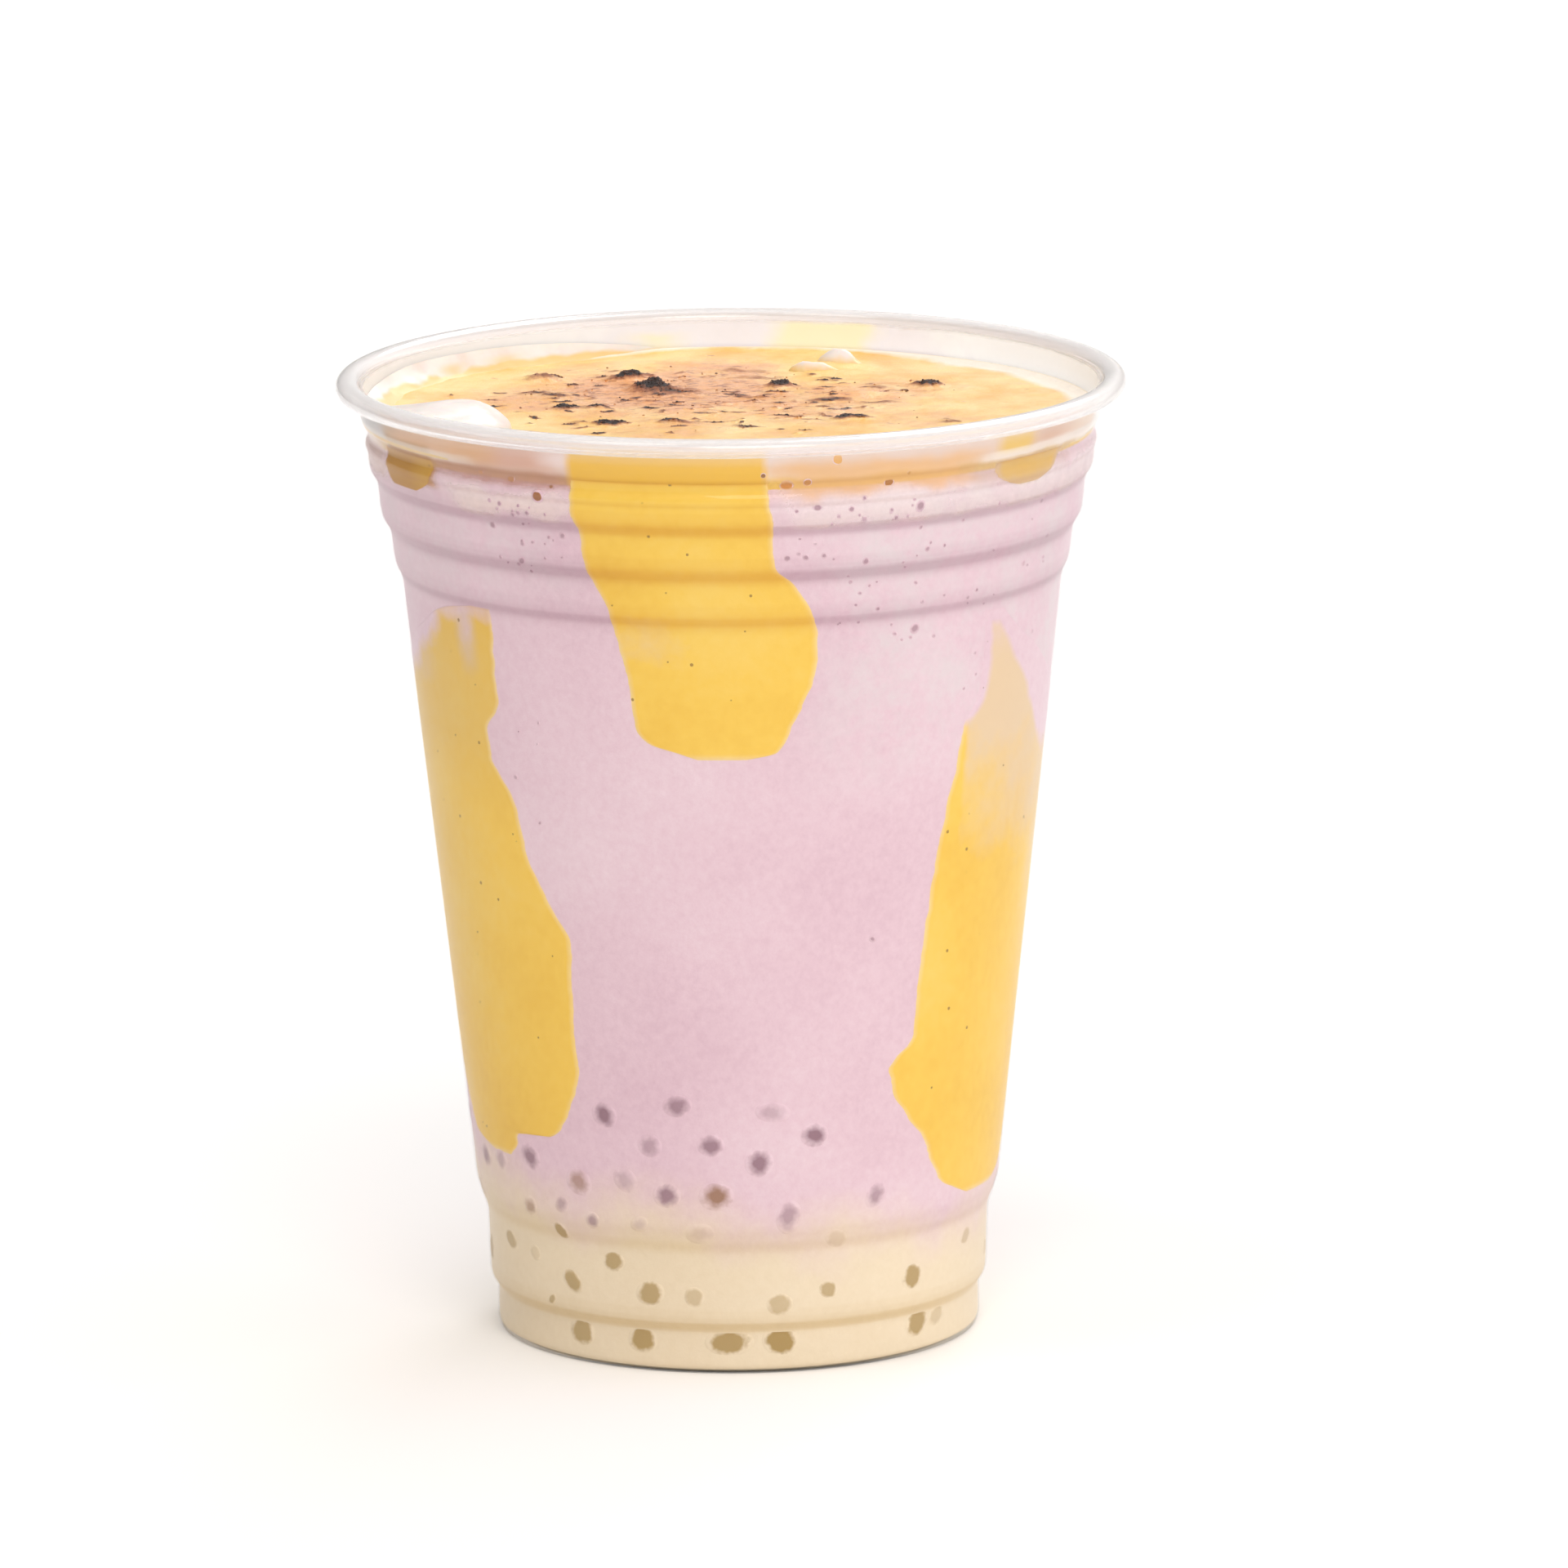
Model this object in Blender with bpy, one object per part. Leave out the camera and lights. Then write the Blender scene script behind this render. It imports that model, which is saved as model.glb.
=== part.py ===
# Taro bubble tea in its clear thin-walled cup: a milk layer, the taro drink, custard runs down
# the wall, a torched custard layer on top and soft cream. Units are metres, +Z is up, and the
# origin is the centre of the foot ring. Angles are in degrees round the cup from the front
# (-Y), positive towards +X.

import math

import bmesh
import bpy
from mathutils import Vector

# Cup
SHEET = 0.0005
GAP = 0.0003
FACETS = 40
CUP_HEIGHT = 0.1205
RIM_RADIUS = 0.0490
RIM_ROLL = 0.0015
RIM_ARC = (-60.0, 180.0)
RIM_ARC_STEPS = 9
FLOOR_UNDERSIDE = 0.0024
# Outer wall as (radius, height): foot, lower band, shoulder step, long taper, four grip bands,
# the stacking ring and the neck under the rolled rim.
OUTER_WALL = (
    (0.0300, 0.0005), (0.0302, 0.0013), (0.0302, 0.0048), (0.0311, 0.0072), (0.0314, 0.0150),
    (0.0329, 0.0208), (0.0411, 0.0950), (0.0421, 0.0980), (0.0426, 0.1012), (0.0437, 0.1039),
    (0.0442, 0.1076), (0.0450, 0.1094), (0.0452, 0.1112), (0.0455, 0.1122), (0.0451, 0.1134),
    (0.0455, 0.1146), (0.0461, 0.1162), (0.0462, 0.1185),
)
# Underside of the cup, from the middle out to the foot ring's flat contact.
UNDERSIDE = (
    (0.0, FLOOR_UNDERSIDE), (0.0262, FLOOR_UNDERSIDE), (0.0272, 0.0018), (0.0279, 0.0003),
    (0.0283, 0.0), (0.0294, 0.0),
)
# Inner face of the floor, from the foot groove in to the middle.
INNER_FLOOR = (
    (0.0292, 0.0006), (0.0285, 0.0008), (0.0277, 0.0024), (0.0266, 0.0030), (0.0, 0.0030),
)

# Contents
CONTENTS_INSET = SHEET + GAP
CONTENTS_FLOOR = ((0.0, 0.0033), (0.0266, 0.0033), (0.0279, 0.0026), (0.0288, 0.0012))
CUT_MARGIN = 0.0015
# The milk's upper boundary leans down to the right by the tilt and waves a little, fully so
# from the wave radius out to the wall.
MILK_HEIGHT = 0.0138
MILK_TILT = 0.0030
MILK_WAVE = 0.0008
MILK_WAVE_RADIUS = 0.0300
MILK_BLOCK_BOTTOM = -0.0100
MILK_BLOCK_RADII = (0.0450, 0.0300, 0.0220, 0.0120, 0.0)
MILK_BLOCK_FACETS = 24
DRINK_TOP = 0.1135
CUSTARD_BOTTOM = DRINK_TOP + GAP
CUSTARD_SIDE = 0.1146
CUSTARD_TOP = 0.1155
CUSTARD_RELIEF = 0.00018
CUSTARD_RINGS = (0.0420, 0.0360, 0.0300, 0.0240, 0.0180, 0.0120, 0.0060, 0.0)
CREAM_BOTTOM = CUSTARD_BOTTOM
CREAM_SHOULDER = CUSTARD_TOP + 0.0001

# Custard runs: depth into the drink in the middle and at the edge, the width in degrees of one
# column of their mesh, and the radius at which their outline is laid out flat.
RUN_DEPTH = 0.0026
RUN_EDGE = 0.0010
RUN_COLUMN = 9.0
RUN_ARC_RADIUS = 0.0400
# Each run is a list of rows (height, left angle, right angle), from the top down.
RUNS = {
    "custard_run_front": (
        (0.1135, -26, 6), (0.1112, -26, 6.5), (0.1094, -25.5, 7), (0.1076, -25, 6.8),
        (0.1039, -24.3, 7), (0.1012, -23.4, 10.5), (0.0980, -21.5, 13.4), (0.0950, -20.6, 14.8),
        (0.0905, -18.8, 14.4), (0.0860, -18, 12.5), (0.0830, -17, 10.3), (0.0812, -15, 9),
        (0.0800, -9.6, 7.4), (0.0793, -5, 2.5),
    ),
    "custard_run_left": (
        (0.0962, -52, -46), (0.0950, -60, -46), (0.0920, -70, -46), (0.0885, -81, -46),
        (0.0840, -92, -46.2), (0.0805, -96, -49.6), (0.0770, -97, -49.4), (0.0720, -98, -44.5),
        (0.0650, -98, -42.3), (0.0600, -97, -38.6), (0.0540, -95, -33.4), (0.0470, -91, -33.8),
        (0.0390, -88, -34), (0.0335, -84, -37), (0.0305, -81, -39), (0.0288, -78, -43),
        (0.0270, -76, -53.6), (0.0254, -64, -56.5),
    ),
    "custard_run_right": (
        (0.0950, 49, 54), (0.0915, 49.5, 61), (0.0880, 49.5, 70), (0.0840, 49, 80),
        (0.0810, 46, 88), (0.0775, 45, 92), (0.0720, 43.2, 95), (0.0650, 41.6, 97),
        (0.0570, 40, 97), (0.0480, 38.8, 96), (0.0415, 37.5, 94), (0.0398, 34.6, 93),
        (0.0380, 32.8, 92), (0.0350, 34.8, 91), (0.0315, 38.6, 90), (0.0285, 43.4, 88),
        (0.0250, 46.4, 86), (0.0224, 50, 84), (0.0208, 56, 80), (0.0198, 61, 73),
    ),
    "custard_run_back": (
        (0.1135, 148, 177), (0.1112, 148, 177), (0.1076, 149, 178), (0.1039, 150, 177),
        (0.1012, 152, 175), (0.0950, 154, 172), (0.0890, 155, 170), (0.0820, 155, 169),
        (0.0760, 157, 167), (0.0735, 160, 165),
    ),
    "custard_run_back_left": (
        (0.0880, -136, -130), (0.0840, -139, -127), (0.0770, -143, -126), (0.0690, -146, -127),
        (0.0600, -149, -125), (0.0500, -150, -122), (0.0420, -148, -123), (0.0360, -144, -127),
        (0.0325, -140, -131),
    ),
    "custard_run_back_right": (
        (0.0660, 131, 136), (0.0620, 128, 139), (0.0550, 126, 142), (0.0470, 125, 145),
        (0.0390, 127, 146), (0.0320, 130, 143), (0.0280, 133, 140),
    ),
    "custard_patch_left": (
        (0.1135, -69, -54), (0.1122, -69, -55), (0.1110, -69, -56), (0.1102, -67, -58),
    ),
    "custard_patch_right": (
        (0.1135, 46, 63), (0.1127, 46, 61), (0.1119, 48, 59), (0.1111, 52, 56),
    ),
}

# Cream against the wall: rows (angle, inner radius, crest radius, crest height).
CREAM_WALL = (
    (-168, 0.0440, 0.0445, 0.1168), (-156, 0.0436, 0.0444, 0.1175), (-143, 0.0430, 0.0442, 0.1180),
    (-132, 0.0433, 0.0443, 0.1182), (-120, 0.0428, 0.0441, 0.1182), (-107, 0.0420, 0.0436, 0.1179),
    (-95.4, 0.0402, 0.0424, 0.1172),
)
CREAM_MOUND = (
    (-95, 0.0392, 0.0420, 0.1170), (-88, 0.0335, 0.0370, 0.1180), (-80, 0.0296, 0.0350, 0.1184),
    (-73, 0.0285, 0.0350, 0.1184), (-64, 0.0302, 0.0366, 0.1181), (-56, 0.0345, 0.0396, 0.1173),
    (-49, 0.0396, 0.0424, 0.1163),
)
CREAM_EDGE_DROP = 0.0002
# Loose dollops: (x, y, half length, half width, half height, turn).
DOLLOPS = {
    "cream_dollop_back": (0.0140, 0.0335, 0.0036, 0.0022, 0.0016, -35.0),
    "cream_dollop_front": (0.0110, 0.0284, 0.0036, 0.0013, 0.0011, -14.0),
}
DOLLOP_HEIGHT = 0.1159
DOLLOP_TAPER = 0.35

# Charred lumps in the torched custard: (x, y, half length, half width, height over the custard),
# how far they reach down into it, and how craggy their outline is.
CHAR_ROOT = 0.0006
CHAR_CRAG = 0.18
CHAR_LUMPS = (
    (-0.0125, 0.0245, 0.0030, 0.0011, 0.0006), (-0.0100, 0.0160, 0.0038, 0.0018, 0.0006),
    (-0.0203, 0.0025, 0.0020, 0.0011, 0.0004), (-0.0168, 0.0030, 0.0015, 0.0009, 0.0004),
    (-0.0222, 0.0120, 0.0018, 0.0010, 0.0003), (-0.0148, -0.0082, 0.0019, 0.0010, 0.0004),
    (-0.0186, -0.0066, 0.0013, 0.0008, 0.0003), (-0.0074, -0.0068, 0.0022, 0.0009, 0.0003),
    (0.0021, -0.0113, 0.0016, 0.0008, 0.0003), (0.0059, 0.0172, 0.0021, 0.0010, 0.0004),
    (0.0150, -0.0056, 0.0024, 0.0011, 0.0004), (0.0248, 0.0176, 0.0022, 0.0011, 0.0005),
    (0.0126, 0.0074, 0.0022, 0.0010, 0.0003), (-0.0245, 0.0236, 0.0026, 0.0015, 0.0005),
    (0.0184, -0.0190, 0.0020, 0.0010, 0.0004), (-0.0060, -0.0230, 0.0024, 0.0011, 0.0004),
    (-0.0190, -0.0230, 0.0018, 0.0010, 0.0003),
)

COLORS = {
    "cup": (0.90, 0.92, 0.93),
    "milk_layer": (0.90, 0.82, 0.66),
    "taro_drink": (0.81, 0.63, 0.68),
    "custard": (0.96, 0.66, 0.16),
    "torched_custard": (0.93, 0.60, 0.25),
    "cream": (0.97, 0.94, 0.90),
}


def clear_scene():
    for obj in list(bpy.data.objects):
        bpy.data.objects.remove(obj, do_unlink=True)


def food_material(name, roughness=0.4):
    material = bpy.data.materials.new(name)
    material.use_nodes = True
    shader = material.node_tree.nodes["Principled BSDF"]
    shader.inputs["Base Color"].default_value = COLORS[name] + (1.0,)
    shader.inputs["Roughness"].default_value = roughness
    shader.inputs["Metallic"].default_value = 0.0
    return material


def clear_plastic():
    material = food_material("cup", roughness=0.05)
    shader = material.node_tree.nodes["Principled BSDF"]
    shader.inputs["Transmission Weight"].default_value = 0.9
    shader.inputs["IOR"].default_value = 1.57
    return material


def make_object(name, bm, material=None):
    bmesh.ops.recalc_face_normals(bm, faces=bm.faces)
    mesh = bpy.data.meshes.new(name)
    bm.to_mesh(mesh)
    bm.free()
    mesh.shade_smooth()
    mesh.set_sharp_from_angle(angle=math.radians(35.0))
    obj = bpy.data.objects.new(name, mesh)
    bpy.context.scene.collection.objects.link(obj)
    if material is not None:
        mesh.materials.append(material)
    return obj


def gathered(name, objects):
    """A collection that holds the objects for one Boolean."""
    collection = bpy.data.collections.new(name)
    bpy.context.scene.collection.children.link(collection)
    for obj in objects:
        bpy.context.scene.collection.objects.unlink(obj)
        collection.objects.link(obj)
    return collection


def apply_boolean(target, operation, operand):
    """Cut or join target with an object or a collection, and remove what was used."""
    modifier = target.modifiers.new(operation, "BOOLEAN")
    modifier.operation = operation
    modifier.solver = "EXACT"
    if isinstance(operand, bpy.types.Collection):
        modifier.operand_type = "COLLECTION"
        modifier.collection = operand
        used = list(operand.objects)
    else:
        modifier.object = operand
        used = [operand]
    depsgraph = bpy.context.evaluated_depsgraph_get()
    result = bpy.data.meshes.new_from_object(target.evaluated_get(depsgraph))
    target.modifiers.remove(modifier)
    target.data = result
    for obj in used:
        bpy.data.objects.remove(obj, do_unlink=True)
    if isinstance(operand, bpy.types.Collection):
        bpy.data.collections.remove(operand)


def wall_radius(height):
    """Outer radius of the cup's wall at a height."""
    below = OUTER_WALL[0]
    for above in OUTER_WALL[1:]:
        if height <= above[1]:
            share = (height - below[1]) / (above[1] - below[1])
            return below[0] + share * (above[0] - below[0])
        below = above
    return OUTER_WALL[-1][0]


def facet_radius(radius, angle):
    """Distance to the flat facet of a turned piece whose corners lie at this radius."""
    half = math.pi / FACETS
    within = math.radians(angle) % (2.0 * half)
    return radius * math.cos(half) / math.cos(within - half)


def around(angle, radius, height):
    turn = math.radians(angle)
    return Vector((radius * math.sin(turn), -radius * math.cos(turn), height))


def turned(name, profile, material=None, segments=FACETS):
    """Solid of revolution from (radius, height) points that start and end on the axis."""
    bm = bmesh.new()
    verts = [bm.verts.new((radius, 0.0, height)) for radius, height in profile]
    edges = [bm.edges.new(pair) for pair in zip(verts, verts[1:])]
    bmesh.ops.spin(
        bm, geom=verts + edges, cent=(0, 0, 0), axis=(0, 0, 1),
        angle=2.0 * math.pi, steps=segments, use_merge=True,
    )
    bmesh.ops.remove_doubles(bm, verts=bm.verts, dist=0.000002)
    return make_object(name, bm, material)


def raise_above(obj, height, level):
    """Give every point above a height the level(x, y) there, and split the bent faces."""
    bm = bmesh.new()
    bm.from_mesh(obj.data)
    for vert in bm.verts:
        if vert.co.z > height:
            vert.co.z = level(vert.co.x, vert.co.y)
    bmesh.ops.triangulate(bm, faces=bm.faces)
    bm.to_mesh(obj.data)
    bm.free()


def lofted(name, sections, material=None):
    """Solid through closed sections, each an outer line and an inner line of equal length.

    Every face is a triangle, so a piece and the cutter for its place fold the same way.
    """
    bm = bmesh.new()
    loops = []
    for outer, inner in sections:
        loops.append([bm.verts.new(point) for point in outer + inner[::-1]])
    count = len(loops[0])
    corners = []
    for first, second in zip(loops, loops[1:]):
        for i in range(count):
            j = (i + 1) % count
            corners.append((first[i], first[j], second[j], second[i]))
    for loop in (loops[0], loops[-1]):
        for i in range(count // 2 - 1):
            corners.append((loop[i], loop[i + 1], loop[count - 2 - i], loop[count - 1 - i]))
    for a, b, c, d in corners:
        bm.faces.new((a, b, c))
        bm.faces.new((a, c, d))
    return make_object(name, bm, material)


def arc(centre, radius, steps):
    """Points (radius, height) along the rim's roll, from its free edge up and over."""
    points = []
    for i in range(steps):
        turn = math.radians(RIM_ARC[0] + (RIM_ARC[1] - RIM_ARC[0]) * i / (steps - 1))
        points.append((centre[0] + radius * math.cos(turn), centre[1] + radius * math.sin(turn)))
    return points


def build_cup():
    """Clear shell: underside, outer wall, outward rolled rim, inner wall and floor."""
    roll_centre = (RIM_RADIUS - RIM_ROLL, CUP_HEIGHT - RIM_ROLL)
    outside = arc(roll_centre, RIM_ROLL, RIM_ARC_STEPS)
    inside = arc(roll_centre, RIM_ROLL - SHEET, RIM_ARC_STEPS // 2 + 1)
    inner_wall = [(radius - SHEET, height) for radius, height in OUTER_WALL[1:-1]]
    profile = list(UNDERSIDE) + list(OUTER_WALL)
    profile += inside[::-1]
    profile += outside
    profile += inner_wall[::-1]
    profile += list(INNER_FLOOR)
    return turned("cup", profile, clear_plastic())


def milk_level(x, y):
    """Height of the uneven boundary between the milk and the taro drink."""
    angle = math.atan2(x, -y)
    share = min(1.0, math.hypot(x, y) / MILK_WAVE_RADIUS)
    tilt = -MILK_TILT * math.sin(angle)
    wave = MILK_WAVE * math.sin(3.0 * angle + 0.6)
    return MILK_HEIGHT + share * (tilt + wave)


def level_block(name, lift):
    """Cutting block that fills everything below the milk's upper boundary."""
    profile = [(0.0, MILK_BLOCK_BOTTOM), (MILK_BLOCK_RADII[0], MILK_BLOCK_BOTTOM)]
    profile += [(radius, MILK_HEIGHT) for radius in MILK_BLOCK_RADII]
    block = turned(name, profile, segments=MILK_BLOCK_FACETS)
    raise_above(block, 0.0, lambda x, y: milk_level(x, y) + lift)
    return block


def contents_body(name, material):
    """Everything that fills the cup below the custard layer, as one turned body."""
    side = [(radius - CONTENTS_INSET, height) for radius, height in OUTER_WALL[1:]
            if height < DRINK_TOP]
    top_radius = wall_radius(DRINK_TOP) - CONTENTS_INSET
    profile = list(CONTENTS_FLOOR) + side + [(top_radius, DRINK_TOP), (0.0, DRINK_TOP)]
    return turned(name, profile, material)


def grown(rows, amount):
    """Rows (left, right) of (arc length, height) points with the whole outline moved outwards."""
    left = [row[0] for row in rows]
    right = [row[1] for row in rows]
    outline = left + right[::-1]
    count = len(outline)
    moved = []
    for i, point in enumerate(outline):
        before = (point - outline[i - 1]).normalized()
        after = (outline[(i + 1) % count] - point).normalized()
        normals = [Vector((edge.y, -edge.x)) for edge in (before, after)]
        mean = (normals[0] + normals[1]).normalized()
        reach = amount / max(0.5, mean.dot(normals[0]))
        moved.append(point + reach * mean)
    half = count // 2
    return list(zip(moved[:half], moved[half:][::-1]))


def run_sections(stations, clearance=0.0, overshoot=0.0):
    """Sections of a custard run; clearance and overshoot turn it into its pocket's cutter."""
    rows = []
    for height, left, right in stations:
        rows.append((Vector((RUN_ARC_RADIUS * math.radians(left), height)),
                     Vector((RUN_ARC_RADIUS * math.radians(right), height))))
    if clearance:
        rows = grown(rows, clearance)
    widest = max(right - left for _, left, right in stations)
    columns = max(2, math.ceil(widest / RUN_COLUMN))
    sections = []
    for k, (left, right) in enumerate(rows):
        outer = []
        inner = []
        for i in range(columns + 1):
            point = left.lerp(right, i / columns)
            radius = wall_radius(point.y) - CONTENTS_INSET
            angle = math.degrees(point.x / RUN_ARC_RADIUS)
            on_edge = k in (0, len(rows) - 1) or i in (0, columns)
            depth = (RUN_EDGE if on_edge else RUN_DEPTH) + clearance
            face = facet_radius(radius, angle)
            outer.append(around(angle, face + overshoot, point.y))
            inner.append(around(angle, face - depth, point.y))
        sections.append((outer, inner))
    return sections


def build_runs(material):
    for name, stations in RUNS.items():
        lofted(name, run_sections(stations), material)


def build_milk():
    milk = contents_body("milk_layer", food_material("milk_layer"))
    apply_boolean(milk, "INTERSECT", level_block("milk_block", 0.0))


def build_drink():
    drink = contents_body("taro_drink", food_material("taro_drink"))
    apply_boolean(drink, "DIFFERENCE", level_block("drink_block", GAP))
    pockets = [lofted(name + "_pocket", run_sections(stations, GAP, CUT_MARGIN))
               for name, stations in RUNS.items()]
    apply_boolean(drink, "DIFFERENCE", gathered("pockets", pockets))


def custard_level(x, y):
    """Height of the torched custard's uneven surface: long shallow waves that cross."""
    broad = math.sin(210.0 * x + 0.7) * math.cos(170.0 * y)
    narrow = 0.6 * math.sin(330.0 * y + 150.0 * x)
    return CUSTARD_TOP + CUSTARD_RELIEF * (broad + narrow)


def cream_sections(stations, clearance=0.0):
    """Sections of cream against the wall; clearance turns them into the cutter for its place."""
    sections = []
    for k, (angle, inner_radius, crest_radius, crest_height) in enumerate(stations):
        edge_height = crest_height - CREAM_EDGE_DROP
        edge = wall_radius(edge_height) - CONTENTS_INSET
        foot = wall_radius(CREAM_BOTTOM) - CONTENTS_INSET
        inner_radius -= clearance
        if clearance:
            step = math.degrees(clearance / edge)
            angle += {0: -step, len(stations) - 1: step}.get(k, 0.0)
            edge += CUT_MARGIN
            foot += CUT_MARGIN
            top = [(edge, CUP_HEIGHT), (crest_radius, CUP_HEIGHT), (inner_radius, CUP_HEIGHT)]
            low = CREAM_BOTTOM - CUT_MARGIN
        else:
            edge = facet_radius(edge, angle)
            foot = facet_radius(foot, angle)
            low = CREAM_BOTTOM
            top = [(edge, edge_height), (crest_radius, crest_height),
                   (inner_radius, CREAM_SHOULDER)]
        bottom = [(foot, low), (crest_radius, low), (inner_radius, low)]
        sections.append(([around(angle, r, z) for r, z in top],
                         [around(angle, r, z) for r, z in bottom]))
    return sections


def dollop(name, size, material=None, clearance=0.0):
    """A small pear-shaped lump of cream lying in the custard."""
    x, y, half_length, half_width, half_height, turn = size
    bm = bmesh.new()
    bmesh.ops.create_icosphere(bm, subdivisions=2, radius=1.0)
    angle = math.radians(turn)
    for vert in bm.verts:
        taper = 1.0 - DOLLOP_TAPER * vert.co.x
        along = (half_length + clearance) * vert.co.x
        across = (half_width + clearance) * vert.co.y * taper
        height = (half_height + clearance) * vert.co.z * taper
        vert.co = (
            x + along * math.cos(angle) - across * math.sin(angle),
            y + along * math.sin(angle) + across * math.cos(angle),
            DOLLOP_HEIGHT + height,
        )
    return make_object(name, bm, material)


def build_cream():
    material = food_material("cream", roughness=0.3)
    lofted("cream_wall", cream_sections(CREAM_WALL), material)
    lofted("cream_mound", cream_sections(CREAM_MOUND), material)
    for name, size in DOLLOPS.items():
        dollop(name, size, material)


def char_lump(name, x, y, half_length, half_width, rise):
    """A charred lump: a low craggy blister that reaches into the custard under it."""
    bm = bmesh.new()
    bmesh.ops.create_icosphere(bm, subdivisions=1, radius=1.0)
    level = custard_level(x, y)
    for i, vert in enumerate(bm.verts):
        crag = 1.0 + CHAR_CRAG * math.sin(5.0 * i + 900.0 * x)
        vert.co = (
            x + half_length * crag * vert.co.x,
            y + half_width * crag * vert.co.y,
            level + (rise if vert.co.z > 0.0 else CHAR_ROOT) * vert.co.z,
        )
    return make_object(name, bm)


def build_torched_custard():
    """The custard layer over the drink, with its char fused on and places cut for the cream."""
    profile = [(0.0, CUSTARD_BOTTOM)]
    profile += [(wall_radius(height) - CONTENTS_INSET, height)
                for height in (CUSTARD_BOTTOM, CUSTARD_SIDE, CUSTARD_TOP)]
    profile += [(radius, CUSTARD_TOP) for radius in CUSTARD_RINGS]
    custard = turned("torched_custard", profile, food_material("torched_custard"))
    raise_above(custard, CUSTARD_TOP - 0.00001, custard_level)

    places = [lofted("wall_place", cream_sections(CREAM_WALL, GAP)),
              lofted("mound_place", cream_sections(CREAM_MOUND, GAP))]
    places += [dollop(name + "_place", size, clearance=GAP) for name, size in DOLLOPS.items()]
    for place in places:
        apply_boolean(custard, "DIFFERENCE", place)

    lumps = [char_lump("char_%02d" % i, *lump) for i, lump in enumerate(CHAR_LUMPS)]
    apply_boolean(custard, "UNION", gathered("char_lumps", lumps))


def main():
    clear_scene()
    build_cup()
    build_milk()
    build_drink()
    build_runs(food_material("custard"))
    build_torched_custard()
    build_cream()


main()
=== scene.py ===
import math

import bmesh
import bpy
import numpy as np
from mathutils import Matrix, Vector, noise


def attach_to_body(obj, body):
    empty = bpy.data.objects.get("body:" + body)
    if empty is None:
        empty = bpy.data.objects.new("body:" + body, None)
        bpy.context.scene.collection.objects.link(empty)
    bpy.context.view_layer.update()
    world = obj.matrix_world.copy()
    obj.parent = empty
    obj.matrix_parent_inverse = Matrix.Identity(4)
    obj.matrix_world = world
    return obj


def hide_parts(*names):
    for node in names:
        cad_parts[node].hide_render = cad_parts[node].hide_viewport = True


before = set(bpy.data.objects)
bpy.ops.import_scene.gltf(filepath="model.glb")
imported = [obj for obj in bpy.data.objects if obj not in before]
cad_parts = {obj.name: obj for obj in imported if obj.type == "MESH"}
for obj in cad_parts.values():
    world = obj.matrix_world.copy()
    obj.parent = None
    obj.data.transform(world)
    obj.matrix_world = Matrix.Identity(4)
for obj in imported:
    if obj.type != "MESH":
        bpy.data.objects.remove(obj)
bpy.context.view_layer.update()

# Taro bubble tea in its clear cup. Sizes below are millimetres unless a note says otherwise.
# Angles are degrees round the cup, from the front (-Y), growing towards +X.

mm = 0.001


def linearColour(hexCode):
    parts = [int(hexCode[i:i + 2], 16) / 255 for i in (1, 3, 5)]
    return tuple(c / 12.92 if c <= 0.04045 else ((c + 0.055) / 1.055) ** 2.4 for c in parts) + (1.0,)


def addNode(tree, kind, inputs=None, **settings):
    # an input's value may be a plain value, a hex colour, a socket, or a node, whose first live
    # output is used
    node = tree.nodes.new(kind)
    for name, value in settings.items():
        setattr(node, name, value)
    for key, value in (inputs or {}).items():
        if isinstance(key, str):
            socket = next(s for s in node.inputs if s.enabled and s.name == key)
        else:
            socket = node.inputs[key]
        if isinstance(value, bpy.types.Node):
            value = next(s for s in value.outputs if s.enabled)
        if isinstance(value, bpy.types.NodeSocket):
            tree.links.new(value, socket)
        else:
            hexColour = isinstance(value, str) and value.startswith("#")
            socket.default_value = linearColour(value) if hexColour else value
    return node


def rampStops(node, stops):
    ramp = node.color_ramp
    while len(ramp.elements) < len(stops):
        ramp.elements.new(0.5)
    for element, (place, colour) in zip(ramp.elements, stops):
        element.position = place
        element.color = linearColour(colour)
    return node


def smoothCurve(knots):
    # a curve through knots sorted by their first number, which never swings past them
    x, y = np.array(knots, float).T
    steps = np.diff(x)
    slopes = np.diff(y) / steps
    before, after = slopes[:-1], slopes[1:]
    same = before * after > 0
    total = np.where(same, before + after, 1.0)
    middle = np.where(same, 2 * before * after / total, 0.0)
    tangents = np.concatenate(([slopes[0]], middle, [slopes[-1]]))

    def value(at):
        at = np.clip(np.asarray(at, float), x[0], x[-1])
        k = np.clip(np.searchsorted(x, at, side="right") - 1, 0, len(steps) - 1)
        t = (at - x[k]) / steps[k]
        rise = y[k] * (1 + 2 * t) * (1 - t) ** 2 + y[k + 1] * t * t * (3 - 2 * t)
        return rise + steps[k] * (tangents[k] * t * (1 - t) ** 2 - tangents[k + 1] * t * t * (1 - t))

    return value


def softStep(low, high, value):
    t = np.clip((np.asarray(value, float) - low) / (high - low), 0, 1)
    return t * t * (3 - 2 * t)


def softPatch(angle, height, angles, heights, blur):
    # 1 inside a patch of the wall, falling to 0 over blur = (degrees, mm) across its outline
    sideways = softStep(angles[0] - blur[0], angles[0] + blur[0], angle)
    sideways = sideways * (1 - softStep(angles[1] - blur[0], angles[1] + blur[0], angle))
    upward = softStep(heights[0] - blur[1], heights[0] + blur[1], height)
    return sideways * upward * (1 - softStep(heights[1] - blur[1], heights[1] + blur[1], height))


def wobble(points, size, seed, octaves=3):
    # smooth seeded noise of about -1 to 1 at points in mm; size is its largest feature in mm
    moved = np.asarray(points, float) / size + seed * 7.31
    return np.array([noise.fractal(Vector(p), 0.9, 2.1, octaves) for p in moved])


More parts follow.
